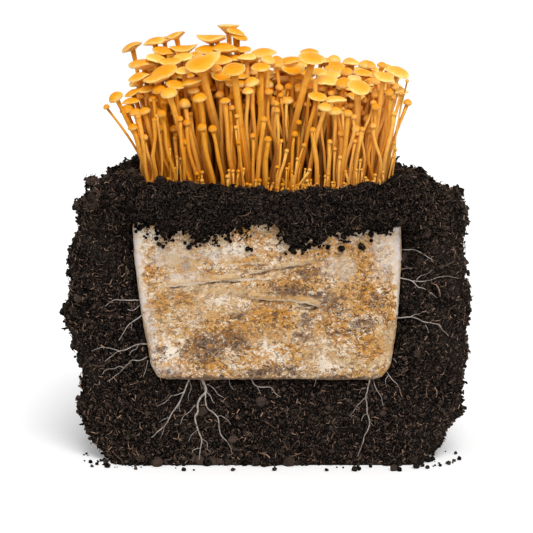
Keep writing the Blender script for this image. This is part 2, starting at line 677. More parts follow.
def clodsOf(points, scale, shift):
    # rounded lumps: high in the middle of each cell and low between cells
    found = np.empty(len(points))
    for index, point in enumerate(points):
        near, other = noise.voronoi(Vector(point) * scale + Vector((shift, 0, shift)))[0][:2]
        found[index] = min(other - near, 0.6) / 0.6
    return found


def inPocket(points, aside, behindFace, overUnder):
    # which points lie in the pocket that holds the block
    low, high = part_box("substrate_block")
    return ((np.abs(points[:, 0]) < high.x + aside) & (points[:, 1] > low.y + behindFace)
            & (points[:, 1] < high.y + 2 * mm) & (points[:, 2] > low.z - overUnder)
            & (points[:, 2] < high.z + overUnder))


def makeSoil():
    # the soil's skin: a ragged outline, lumps, clods and crumbs, all outside the block's pocket
    piece = copyNode("soil", "soilBody")
    applyModifier(piece, "REMESH", mode="VOXEL", voxel_size=soilLook["voxel"])
    mesh = piece.data
    points, normals = readPoints(mesh), readNormals(mesh)
    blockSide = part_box("substrate_block")[1].x
    free = smoothStep(0, 4 * mm, points[:, 2]) * (1 - inPocket(points, 2 * mm, 14 * mm, 2 * mm))
    sideways = smoothStep(0.35, 0.85, np.maximum(np.abs(normals[:, 0]), normals[:, 2]))
    sideways = sideways * smoothStep(8 * mm, 30 * mm, points[:, 2])
    sideways = sideways * smoothStep(0, 12 * mm, np.abs(points[:, 0]) - blockSide)
    out = soilLook["edgeHeight"] * noiseOf(points, soilLook["edgeScale"], 1.0) * sideways
    out += soilLook["raggedHeight"] * noiseOf(points, soilLook["raggedScale"], 6.0) * sideways
    out += soilLook["lumpHeight"] * noiseOf(points, soilLook["lumpScale"])
    out += soilLook["clodHeight"] * (clodsOf(points, soilLook["clodScale"], 4.0) - 0.55)
    out += soilLook["crumbHeight"] * noiseOf(points, soilLook["crumbScale"], 8.0)
    moved = points + normals * (out * free)[:, None]
    moved[:, 2] = np.maximum(moved[:, 2], 0)
    writePoints(mesh, moved)
    mesh.materials.append(makeSoilMaterial("soilMass", False))
    makeActive(piece)
    bpy.ops.object.shade_flat()
    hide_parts("soil")
    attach(piece, bodyName)
    return piece


def modelCrumb(name, fineness, stretch, seed):
    # one crumb of soil, about a unit in radius
    deselectAll()
    bpy.ops.mesh.primitive_ico_sphere_add(subdivisions=fineness, radius=1, location=(0, 0, 0))
    crumb = bpy.context.object
    crumb.name = name
    bpy.ops.object.mode_set(mode="EDIT")
    bpy.ops.mesh.select_all(action="SELECT")
    bpy.ops.transform.resize(value=stretch, center_override=(0, 0, 0))
    bpy.ops.object.mode_set(mode="OBJECT")
    points = readPoints(crumb.data)
    bumps = 1 + 0.42 * noiseOf(points, 1.7, seed * 7.0) + 0.25 * noiseOf(points, 4.1, seed * 3.0)
    if fineness > 2:
        bumps += 0.16 * noiseOf(points, 8.7, seed * 5.0)
    points = points * bumps[:, None]
    faces = np.array([list(face.vertices) for face in crumb.data.polygons])
    bpy.data.objects.remove(crumb)
    return points, faces


def modelFibre(name, steps, thickness, bend, seed):
    # one curved fibre along X, a unit in half length
    deselectAll()
    bpy.ops.mesh.primitive_circle_add(vertices=3, radius=thickness, fill_type="NGON", location=(-1, 0, 0),
                                      rotation=(0, math.radians(90), 0))
    fibre = bpy.context.object
    fibre.name = name
    bpy.ops.object.transform_apply(location=True, rotation=True, scale=True)
    bpy.ops.object.mode_set(mode="EDIT")
    bpy.ops.mesh.select_all(action="SELECT")
    for _ in range(steps):
        bpy.ops.mesh.extrude_region_move(TRANSFORM_OT_translate={"value": (2 / steps, 0, 0)})
    bpy.ops.mesh.select_all(action="SELECT")
    bpy.ops.mesh.normals_make_consistent(inside=False)
    bpy.ops.mesh.quads_convert_to_tris()
    bpy.ops.object.mode_set(mode="OBJECT")
    points = readPoints(fibre.data)
    taper = 1 - 0.55 * np.abs(points[:, 0]) ** 2
    along = points[:, 0].copy()
    points[:, 1] = points[:, 1] * taper + bend * (1 - along**2) + 0.12 * np.sin(along * 3 + seed)
    points[:, 2] = points[:, 2] * taper + 0.10 * np.sin(along * 4 + seed * 2)
    faces = np.array([list(face.vertices) for face in fibre.data.polygons])
    bpy.data.objects.remove(fibre)
    return points, faces


def trianglesOf(mesh):
    mesh.calc_loop_triangles()
    corners = np.empty(len(mesh.loop_triangles) * 3, np.int32)
    mesh.loop_triangles.foreach_get("vertices", corners)
    return readPoints(mesh)[corners.reshape(-1, 3)]


def crossOf(triangles):
    # each triangle's normal, as long as twice its area
    return np.cross(triangles[:, 1] - triangles[:, 0], triangles[:, 2] - triangles[:, 0])


def normalsOf(triangles):
    sides = crossOf(triangles)
    return sides / np.maximum(np.linalg.norm(sides, axis=1), 1e-12)[:, None]


def randomSpots(triangles, count, rng):
    # even random places on the triangles, with the normal there
    sides = crossOf(triangles)
    areas = np.linalg.norm(sides, axis=1)
    chosen = rng.choice(len(triangles), count, p=areas / areas.sum())
    u, v = rng.random(count), rng.random(count)
    over = u + v > 1
    u[over], v[over] = 1 - u[over], 1 - v[over]
    corner, second, third = (triangles[chosen, index] for index in range(3))
    places = corner + u[:, None] * (second - corner) + v[:, None] * (third - corner)
    return places, sides[chosen] / areas[chosen][:, None]


def drawnSize(rng, least, added, power):
    # a random size, given in millimetres
    return (least + added * rng.random() ** power) * mm


def randomTurns(count, rng):
    # evenly spread rotation matrices
    q = rng.normal(size=(count, 4))
    w, x, y, z = (q / np.linalg.norm(q, axis=1)[:, None]).T
    rows = [1 - 2 * (y * y + z * z), 2 * (x * y - z * w), 2 * (x * z + y * w),
            2 * (x * y + z * w), 1 - 2 * (x * x + z * z), 2 * (y * z - x * w),
            2 * (x * z - y * w), 2 * (y * z + x * w), 1 - 2 * (x * x + y * y)]
    return np.stack(rows, axis=1).reshape(-1, 3, 3)


def turnsAlong(normals, rng, tilt):
    # rotations that lay a fibre's own X axis across the normal, turned and tilted at random
    across = unitRows(np.cross(normals, rng.normal(size=normals.shape)))
    lean = rng.normal(size=len(normals))[:, None] * tilt
    first = unitRows(across + normals * lean)
    second = unitRows(np.cross(normals, first))
    return np.stack([first, second, np.cross(first, second)], axis=2)


def joinCopies(name, models, places, turns, sizes, tones, rng):
    # one soil piece made of many copies of the models, none of it under the floor
    places, sizes = np.asarray(places), np.asarray(sizes)
    kinds = rng.integers(0, len(models), len(places))
    allPoints, allFaces, allTones, start = [], [], [], 0
    for kind, (points, faces) in enumerate(models):
        mine = kinds == kind
        count = int(mine.sum())
        copies = np.einsum("nij,vj->nvi", turns[mine], points) * sizes[mine][:, None, None]
        copies += places[mine][:, None, :]
        allPoints.append(copies.reshape(-1, 3))
        offsets = start + np.arange(count)[:, None, None] * len(points)
        allFaces.append((faces[None] + offsets).reshape(-1, 3))
        allTones.append(np.repeat(tones[mine], len(points)))
        start += count * len(points)
    points = np.vstack(allPoints)
    points[:, 2] = np.maximum(points[:, 2], 0)
    piece = pieceFromArrays(name, points, np.vstack(allFaces), looseSoil, {"tone": np.concatenate(allTones)})
    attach(piece, bodyName)
    return piece


def scatterCrumbs(name, triangles, count, models, smallest, largest, power=2.6):
    rng = np.random.default_rng(crumbLook["seeds"][name])
    places, normals = randomSpots(triangles, count, rng)
    sizes = smallest + (largest - smallest) * rng.random(count) ** power
    places = places + normals * (sizes * (1 - 2 * crumbLook["sink"]) * rng.random(count))[:, None]
    places[:, 2] = np.maximum(places[:, 2], sizes * 0.9)
    joinCopies(name, models, places, randomTurns(count, rng), sizes, rng.random(count), rng)


soilBody = makeSoil()
crumbModels = [modelCrumb("crumb", 1, (1, 0.8, 0.7), 1), modelCrumb("crumb", 1, (1.2, 0.75, 0.5), 2),
               modelCrumb("crumb", 1, (0.9, 0.9, 0.8), 3), modelCrumb("crumb", 1, (1.3, 0.9, 0.35), 4)]
clodModels = [modelCrumb("clod", 2, (1, 0.85, 0.75), 5), modelCrumb("clod", 2, (1.15, 0.8, 0.8), 6),
              modelCrumb("clod", 2, (0.9, 0.95, 0.8), 7)]
fleckModels = [modelFibre("fleck", 1, 0.34, 0.0, 1), modelFibre("fleck", 1, 0.24, 0.0, 2),
               modelFibre("fleck", 1, 0.46, 0.0, 3), modelFibre("fleck", 2, 0.22, 0.3, 2)]
fibreModels = [modelFibre("fibre", 5, 0.07, 0.35, 1), modelFibre("fibre", 5, 0.05, 0.12, 2),
               modelFibre("fibre", 5, 0.06, 0.6, 4)]
looseSoil = makeSoilMaterial("soilCrumbs", True)


def splitSoilSurface():
    # the soil's outside triangles, as front face, top and the rest
    triangles = trianglesOf(soilBody.data)
    middles = triangles.mean(axis=1)
    normals = normalsOf(triangles)
    hidden = inPocket(middles, 1 * mm, 13 * mm, 1.5 * mm) | (middles[:, 2] < 1.5 * mm)
    front = ~hidden & (normals[:, 1] < -0.35) & (middles[:, 1] < -45 * mm)
    top = ~hidden & ~front & (normals[:, 2] > 0.35) & (middles[:, 2] > 150 * mm)
    rest = ~hidden & ~front & ~top
    return triangles[front], triangles[top], triangles[rest]


def addKnobs():
    # big brown clods at the soil's outline
    rng = np.random.default_rng(crumbLook["seeds"]["soilKnobs"])
    knobs = np.array(crumbLook["knobs"], float) * mm
    models = [modelCrumb("knob", 3, (1, 0.9, 0.8), 8), modelCrumb("knob", 3, (0.9, 0.85, 1.1), 9)]
    tones = rng.uniform(0.8, 1.1, len(knobs))
    turns = randomTurns(len(knobs), rng)
    piece = joinCopies("soilKnobs", models, knobs[:, :3], turns, knobs[:, 3] * 1.15, tones, rng)
    return trianglesOf(piece.data)


faceTriangles, topTriangles, restTriangles = splitSoilSurface()
knobTriangles = addKnobs()
knobsInFront = knobTriangles[:, :, 1].mean(axis=1) < -20 * mm
faceTriangles = np.vstack([faceTriangles, knobTriangles[knobsInFront]])
restTriangles = np.vstack([restTriangles, knobTriangles[~knobsInFront]])
wholeSoil = np.vstack([faceTriangles, topTriangles, restTriangles])
scatterCrumbs("soilCrumbsFace", faceTriangles, crumbLook["faceCount"], crumbModels,
              crumbLook["smallest"], crumbLook["largest"])
scatterCrumbs("soilCrumbsTop", topTriangles, crumbLook["topCount"], crumbModels,
              crumbLook["smallest"], crumbLook["largest"])
scatterCrumbs("soilCrumbsSides", restTriangles, crumbLook["sideCount"], crumbModels,
              crumbLook["smallest"], crumbLook["largest"] * 1.15)
scatterCrumbs("soilClods", wholeSoil, crumbLook["clodCount"], clodModels, *crumbLook["clodSizes"])


def scatterFibres(name, outside, models, count, smallest, largest, power, lift, tilt):
    rng = np.random.default_rng(crumbLook["seeds"][name])
    places, normals = randomSpots(outside, count, rng)
    sizes = smallest + (largest - smallest) * rng.random(count) ** power
    places = places + normals * (0.5 * mm + lift * rng.random(count))[:, None]
    places[:, 2] = np.maximum(places[:, 2], sizes * 0.8)
    tones = 0.9 + 1.1 * rng.random(count) ** 1.9
    joinCopies(name, models, places, turnsAlong(normals, rng, tilt), sizes, tones, rng)


def scatterLipCrumbs():
    # black crumbs that fell on the block's face, thickest just under the ragged lip
    rng = np.random.default_rng(crumbLook["seeds"]["soilLipCrumbs"])
    soilTree = BVHTree.FromObject(soilBody, bpy.context.evaluated_depsgraph_get())
    blockTree = BVHTree.FromObject(bpy.data.objects["substrateBlock"], bpy.context.evaluated_depsgraph_get())
    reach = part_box("substrate_block")[1].x - 2 * mm
    places, sizes = [], []

    def lay(across, height, size, sunk):
        hit = frontHit(blockTree, across, height)
        if hit and hit.y < blockFace + 12 * mm:
            places.append((across, hit.y - size * sunk, height))
            sizes.append(size)

    edges, rim, clodAt = [], [], -reach
    for across in np.arange(-reach, reach, 0.55 * mm):
        edge = blockTop
        while edge > blockTop - 45 * mm:
            hit = frontHit(soilTree, across, edge)
            if not hit or hit.y > blockFace + 2 * mm:
                break
            edge -= 1 * mm
        edges = edges[-4:] + [edge]
        edge = float(np.median(edges))
        clump = min(0.45 + 3.2 * max(0, noise.noise(Vector((across * 95, 3, 1)))), 1.5)
        for _ in range(rng.poisson(crumbLook["lipCrumbs"] * clump)):
            fall = min(rng.exponential(3.3 * mm * clump), 12 * mm)
            size = drawnSize(rng, *crumbLook["lipCrumbSizes"])
            lay(across + rng.normal() * 0.8 * mm, edge + 0.8 * mm - fall, size, 0.3)
        if across >= clodAt:
            clodAt += crumbLook["lipClods"]
            size = drawnSize(rng, *crumbLook["lipClodSizes"])
            lay(across + rng.normal() * mm, edge + (0.8 - abs(rng.normal()) * 2.2 * clump) * mm, size, 0.25)
        rim.append((across, edge))
    for _ in range(crumbLook["lipClumps"]):
        across, height = rim[rng.integers(len(rim))]
        heading = rng.uniform(-2.6, -0.5)
        for _ in range(rng.integers(3, 8)):
            size = drawnSize(rng, *crumbLook["lipClumpSizes"])
            lay(across, height, size, 0.25)
            heading += rng.normal() * 0.7
            across, height = across + math.cos(heading) * size * 1.2, height + math.sin(heading) * size * 1.2
    for across, height, size in crumbLook["faceClods"]:
        hit = frontHit(blockTree, across * mm, height * mm)
        places.append((across * mm, hit.y - size * 0.35 * mm, height * mm))
        sizes.append(size * mm)
    turns, tones = randomTurns(len(places), rng), rng.random(len(places)) * 0.8
    joinCopies("soilLipCrumbs", [crumbModels[0], crumbModels[2]], places, turns, sizes, tones, rng)


def scatterFloorCrumbs():
    # loose bits lying on the floor around the foot
    rng = np.random.default_rng(crumbLook["seeds"]["soilFloorCrumbs"])
    low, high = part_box("soil")
    places, sizes = [], []
    for across, depth, size in crumbLook["floorClods"]:
        places.append((across * mm, depth * mm, size * 0.55 * mm))
        sizes.append(size * mm)
    foot = restTriangles[restTriangles[:, :, 2].mean(axis=1) < 9 * mm]
    foot = np.vstack([foot, faceTriangles[faceTriangles[:, :, 2].mean(axis=1) < 9 * mm]])
    for spot in randomSpots(foot, crumbLook["footCount"], rng)[0]:
        size = drawnSize(rng, *crumbLook["footSizes"])
        places.append((spot[0], spot[1] - 0.4 * size, size * 0.6))
        sizes.append(size)
    for _ in range(crumbLook["floorCount"]):
        turn = rng.uniform(0, 2 * math.pi)
        middle = (low + high) / 2
        out = 0.86 + 0.12 * rng.random() ** 1.5
        size = drawnSize(rng, *crumbLook["floorSizes"])
        corner = np.array([math.cos(turn), math.sin(turn)])
        corner = np.sign(corner) * np.abs(corner) ** 0.35
        places.append((middle.x + corner[0] * (high.x - low.x) / 2 * out,
                       middle.y + corner[1] * (high.y - low.y) / 2 * out * 1.04, size * 0.55))
        sizes.append(size)
    turns, tones = randomTurns(len(places), rng), rng.random(len(places))
    joinCopies("soilFloorCrumbs", clodModels, places, turns, sizes, tones, rng)


def addEdgeClumps():
    # small clumps of crumbs that stand out from the sides and the top, so that the outline is ragged
    rng = np.random.default_rng(crumbLook["seeds"]["soilEdgeClumps"])
    edges = np.vstack([restTriangles, faceTriangles, topTriangles])
    sides = normalsOf(edges)
    middles = edges.mean(axis=1)
    outward = (np.abs(sides[:, 0]) > 0.6) | ((sides[:, 2] > 0.6) & (np.abs(middles[:, 0]) > 92 * mm))
    outward &= (middles[:, 2] > 14 * mm) & (middles[:, 2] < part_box("soil")[1].z - 6 * mm)
    inFront = outward & (middles[:, 1] < -25 * mm)
    found = [randomSpots(edges[chosen], crumbLook["edgeClumps"] // 2, rng) for chosen in (outward, inFront)]
    spots, normals = (np.vstack(rows) for rows in zip(*found))
    limit = np.array(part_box("soil")[1]) + 5 * mm
    places, sizes = [], []
    for spot, normal in zip(spots, normals):
        clump = [(spot, 1.2 * mm)]
        for _ in range(rng.integers(2, 7)):
            size = drawnSize(rng, *crumbLook["edgeClumpSizes"])
            start, startSize = clump[rng.integers(len(clump))]
            heading = normal * 0.9 + rng.normal(size=3) * 0.8
            at = start + heading / np.linalg.norm(heading) * (size + startSize) * 0.6
            if (np.abs(at) > limit - size).any():
                continue
            clump.append((at, size))
        places += [at for at, size in clump[1:]]
        sizes += [size for at, size in clump[1:]]
    turns, tones = randomTurns(len(places), rng), rng.random(len(places)) * 1.1
    joinCopies("soilEdgeClumps", crumbModels, places, turns, sizes, tones, rng)


scatterLipCrumbs()
scatterFloorCrumbs()
addEdgeClumps()
scatterFibres("soilFlecksFace", np.vstack([faceTriangles, topTriangles]), fleckModels,
              crumbLook["faceFlecks"], crumbLook["fleckSmallest"], crumbLook["fleckLargest"],
              *crumbLook["fleckScatter"])
scatterFibres("soilFlecksSides", restTriangles, fleckModels, crumbLook["sideFlecks"],
              crumbLook["fleckSmallest"], crumbLook["fleckLargest"] * 1.2, *crumbLook["fleckScatter"])
scatterFibres("soilFibres", wholeSoil, fibreModels, crumbLook["fibreCount"], crumbLook["fibreSmallest"],
              crumbLook["fibreLargest"], *crumbLook["fibreScatter"])
print("stage: soil")


# mushrooms

mushroomLook = {
    "sides": {"broad": 18, "dome": 14, "button": 11, "pin": 6},
    "stemRings": {"broad": 13, "dome": 12, "button": 12, "pin": 6},
    "stemLow": (0.60, 0.195, 0.010),
    "stemHigh": (0.86, 0.385, 0.042),
    "stemPale": (0.92, 0.54, 0.135),
    "stemDeep": (0.14, 0.030, 0.0012),
    "capMiddle": (0.91, 0.36, 0.006),
    "capBody": (0.92, 0.46, 0.040),
    "capRim": (0.96, 0.66, 0.225),
    "capUnder": (0.98, 0.66, 0.22),
    "gillShade": (0.86, 0.48, 0.10),
    "ballTop": (0.80, 0.31, 0.012),
    "seed": 5,
    # added mushrooms by kind: how many are tried, then ranges in millimetres or as shares
    "canopy": {"tries": 800, "footAcross": (-86, 86), "footBack": (42, 92), "spread": (1.08, 1.2),
               "height": (0.84, 0.985), "cap": (13, 21), "stem": (3.0, 4.2), "lean": 0.12,
               "front": (0.05, 0.3), "spare": -1.4 * mm, "sway": 2.0},
    "thin": {"tries": 1900, "sideAcross": (45, 89), "footAcross": (-70, 70), "footBack": (28, 92),
             "spread": (1.0, 1.18), "sideHeight": (0.6, 0.97), "height": (0.78, 0.95),
             "frontCap": (3.2, 7.5), "backCap": (6, 12), "stem": (2.2, 3.4), "lean": 0.12,
             "front": (0.05, 0.3), "spare": -0.3 * mm, "sway": 2.6},
    "inner": {"tries": 260, "footAcross": (-55, 55), "footBack": (34, 88), "height": (0.72, 0.94),
              "cap": (5, 8), "stem": (2.6, 3.6), "lean": 0.1, "front": (0.05, 0.25), "spare": -1.2 * mm,
              "sway": 2.0},
    "stubs": {"tries": 760, "wide": (-90, 90), "right": (15, 91), "cap": (1.9, 3.4), "stem": (1.3, 2.2),
              "spare": -0.8 * mm},
    "rowSway": 1.7,
    "pinSpare": -3 * mm,
    "subsurface": 0.3,
    "subsurfaceReach": (1.0, 0.5, 0.16),
    "subsurfaceScale": 2.0 * mm,
    "bumpHeight": 0.25 * mm,
    "ballBelow": 7.8 * mm,  # cap widths at which the shape changes
    "domeBelow": 13.2 * mm,
    "pinsWider": 1.15,
    "sway": 0.018,  # sideways bends, as a share of the stem's length
    "canopyWider": 1.15,
    "backFan": 15,  # millimetres the last rows lean back
    "canopyFront": 0.1,  # how much more the canopy's caps lean to the front
}

# cap outlines from the stem to the crown, as (share of the cap's radius, height over it)
capOutlines = {
    "broad": [(0.25, -0.26), (0.46, -0.175), (0.72, -0.09), (0.93, -0.02), (1.0, 0.015), (0.985, 0.065),
              (0.90, 0.135), (0.74, 0.225), (0.52, 0.315), (0.28, 0.38), (0.09, 0.405)],
    "dome": [(0.38, -0.20), (0.56, -0.18), (0.78, -0.14), (0.94, -0.07), (1.0, 0.04), (0.985, 0.18),
             (0.90, 0.36), (0.74, 0.54), (0.52, 0.69), (0.27, 0.78), (0.09, 0.80)],
    "button": [(0.5, -0.36), (0.66, -0.38), (0.84, -0.30), (0.97, -0.10), (1.0, 0.10), (0.97, 0.32),
               (0.86, 0.56), (0.68, 0.76), (0.46, 0.90), (0.24, 0.97), (0.08, 0.99)],
}
rimRing = 4  # the ring of the outline that is the cap's rim

# how a cap's own shape departs from its outline: wave of the rim, lift at its left and right, lift all round
capShapes = {
    "domed": {"waves": 0.5},
    "flat": {"waves": 0.6, "crown": 0.62},
    "wavy": {"waves": 1.35},
    "folded": {"waves": 2.2, "sides": 0.22},
    "saddle": {"waves": 0.8, "sides": 0.30, "crown": 0.8},
    "flared": {"waves": 0.5, "round": 0.16, "crown": 0.3, "below": 2.2},
    "cupped": {"waves": 0.5, "crown": -0.55, "round": 0.16, "below": 1.7},
    "pointed": {"waves": 0.35, "point": 0.75, "crown": 0.75, "size": 0.86},
}

# by a measured mushroom's number: its cap is moved to the right and up, in millimetres, and widened
capMoves = {
    4: (1.6, 2.1, 0.9), 5: (-1.6, 7, 1), 7: (4, 1.5, 1), 8: (1.3, 0, 1), 10: (0, 2, 1), 11: (0, 2.2, 1),
    13: (5.6, 1.2, 1), 14: (2.1, 2.1, 1), 17: (2, 3.2, 1.2), 18: (0, -5.5, 1), 19: (-5, 1, 1.12),
    20: (-7.4, -1.5, 1.08), 21: (0, -2.6, 1), 22: (-0.5, -2.4, 1), 23: (0.4, -2.6, 1.05),
    24: (3.2, 2.1, 1.05), 25: (-4.6, 14, 1.22), 28: (7.4, -1.5, 1.05), 29: (-3.8, 2.6, 1), 30: (2, -3, 1),
    31: (-2.4, -0.5, 1), 32: (1.5, -5.5, 1), 33: (-2, -3.3, 1.05), 36: (-4.5, 0, 1), 37: (3.6, -3, 1.1),
    38: (1, -7, 0.9), 41: (3.5, -2, 0.82), 43: (0, -10, 0.62), 45: (5, -5, 0.85),
}

# by number, those whose cap leans or is shaped in its own way: lean to the right, to the front, shape
capLeans = {
    15: (0.0, 0.5, "domed"), 18: (0.0, 0.35, "domed"), 19: (0.05, 0.1, "wavy"), 20: (0.2, 0.5, "domed"),
    21: (-0.02, 0.5, "pointed"), 22: (0.0, 0.4, "domed"), 23: (0.0, 0.36, "flat"),
    25: (0.2, 0.35, "domed"), 24: (0.0, 0.45, "cupped"), 26: (0.2, 0.4, "domed"),
    27: (-0.1, -0.05, "wavy"), 28: (-0.1, 0.1, "wavy"), 29: (-0.3, 0.25, "domed"),
    32: (-0.05, 0.2, "domed"), 33: (0.05, 0.0, "wavy"), 34: (-0.3, 0.05, "wavy"), 35: (-0.2, 0.1, "wavy"),
    36: (-0.25, 0.1, "folded"), 37: (0.05, 0.1, "saddle"), 38: (0.0, -0.05, "wavy"),
    39: (0.35, 0.2, "domed"), 44: (0.2, 0.35, "domed"),
}


def modelMushroom(kind, outline):
    # a straight mushroom of cap radius 1 and stem length 6, built by extruding one ring after another
    stemRadius, stemLength = 0.2, 6
    sides, stemRings = mushroomLook["sides"][kind], mushroomLook["stemRings"][kind]
    rings = [(stemRadius, stemLength * step / (stemRings - 1)) for step in range(stemRings)]
    rings += [(reach, stemLength + 0.5 + rise) for reach, rise in outline]
    deselectAll()
    bpy.ops.mesh.primitive_circle_add(vertices=sides, radius=stemRadius, fill_type="NGON", location=(0, 0, 0))
    model = bpy.context.object
    model.name = kind + "Mushroom"
    bpy.ops.object.mode_set(mode="EDIT")
    bpy.ops.mesh.select_all(action="SELECT")
    for (beforeReach, beforeRise), (reach, rise) in zip(rings, rings[1:]):
        bpy.ops.mesh.extrude_region_move(TRANSFORM_OT_translate={"value": (0, 0, rise - beforeRise)})
        share = reach / beforeReach
        bpy.ops.transform.resize(value=(share, share, 1), center_override=(0, 0, rise))
    bpy.ops.mesh.select_all(action="SELECT")
    bpy.ops.mesh.normals_make_consistent(inside=False)
    bpy.ops.object.mode_set(mode="OBJECT")
    points = readPoints(model.data)
    known = np.array(rings)
    gaps = np.abs(points[:, 2][:, None] - known[:, 1])
    gaps = gaps + np.abs(np.hypot(points[:, 0], points[:, 1])[:, None] - known[:, 0])
    faces = sorted(list(face.vertices) for face in model.data.polygons)  # in the same order each run
    bpy.data.objects.remove(model)
    return {"rings": gaps.argmin(axis=1), "angles": np.arctan2(points[:, 1], points[:, 0]), "faces": faces,
            "stemRings": stemRings, "outline": np.array(outline)}


def leanAxis(axis, right, front):
    return unit(np.array([axis[0] + right, axis[1] - front, axis[2]]))


def measureNode(nodeName):
    # centres and radii of a CAD mushroom's rings, found by walking up from its foot
    shape = bmesh.new()
    shape.from_mesh(frame["nodes"][nodeName].data)
    bmesh.ops.remove_doubles(shape, verts=shape.verts, dist=1e-6)
    shape.verts.index_update()
    ring = sorted(shape.verts, key=lambda vert: vert.co.z)[:8]
    seen, centres, radii = set(ring), [], []
    while ring:
        centre = sum((vert.co for vert in ring), Vector()) / len(ring)
        centres.append(np.array(centre))
        radii.append(float(np.mean([(vert.co - centre).length for vert in ring])))
        ring = {edge.other_vert(vert) for vert in ring for edge in vert.link_edges} - seen
        ring = sorted(ring, key=lambda vert: vert.index)  # in the same order each run
        seen |= set(ring)
    shape.free()
    axis = unit(centres[7] - centres[5])
    width = 2 * radii[5]
    easy = np.interp(width / mm, [4, 8, 14, 30], [0.05, 0.12, 0.26, 0.26])
    number = int(nodeName[-2:])
    right, front, shape = capLeans.get(number, (0, easy, "domed"))
    axis = leanAxis(axis, right, front)
    across, up, wider = capMoves.get(number, (0, 0, 1))
    width, capRadius = width * wider, radii[5] * wider
    for index, share in ((2, 0.2), (3, 0.6), (5, 1)):
        centres[index] = centres[index] + share * np.array([across * mm, 0, up * mm])
    neck = centres[5] - axis * 0.13 * width
    return {"line": [centres[0], centres[2], centres[3], neck], "rim": centres[5], "axis": axis,
            "capRadius": capRadius, "stemRadius": radii[2], "shape": shape, "node": nodeName}


def growFrom(foot, rim, capWidth, stemWidth, right=0.0, front=0.15, shape="domed", ease=1.25):
    # the same facts for a mushroom given by its foot and rim, as (across, back, height), in millimetres
    foot = np.array([foot[0] * mm, wellFront + foot[1] * mm, blockTop + (foot[2] + 0.3) * mm])
    rim = np.array([rim[0] * mm, wellFront + rim[1] * mm, blockTop + rim[2] * mm])
    end = unit((rim - foot) * np.array([ease, ease, 1]))
    axis = leanAxis(0.45 * end + 0.55 * np.array([0, 0, 1.0]), right, front)
    neck = rim - axis * 0.13 * capWidth * mm
    rise = neck - foot
    line = [foot] + [foot + rise * np.array([share**ease, share**ease, share]) for share in (0.36, 0.7)]
    return {"line": [*line, neck], "rim": rim, "axis": axis, "capRadius": capWidth * mm / 2,
            "stemRadius": stemWidth * mm / 2, "shape": shape, "node": None}


lineShares = [0, 0.36, 0.7, 1]


def samplesOf(facts):
    # spheres that fill a mushroom roughly, to see that two don't run into each other
    stem = smoothThrough(facts["line"], np.interp(np.linspace(0, 1, 12), lineShares, range(4)))
    across = unit(np.cross(facts["axis"], [0.3, 1, 0.1]))
    other = np.cross(facts["axis"], across)
    turns = np.linspace(0, 2 * math.pi, 7)[:-1]
    ring = facts["rim"] + facts["capRadius"] * 0.66 * (np.outer(np.cos(turns), across)
                                                       + np.outer(np.sin(turns), other))
    centres = np.vstack([stem, facts["rim"][None], ring])
    radii = np.concatenate([np.full(12, facts["stemRadius"]), np.full(7, facts["capRadius"] * 0.3)])
    return centres, radii


def clearOf(centres, radii, others, spare):
    low, high = centres.min(axis=0) - 6 * mm, centres.max(axis=0) + 6 * mm
    near = ((others[0] > low) & (others[0] < high)).all(axis=1)
    if not near.any():
        return True
    gaps = np.linalg.norm(centres[:, None] - others[0][near][None], axis=2)
    return (gaps - radii[:, None] - others[1][near][None]).min() > spare


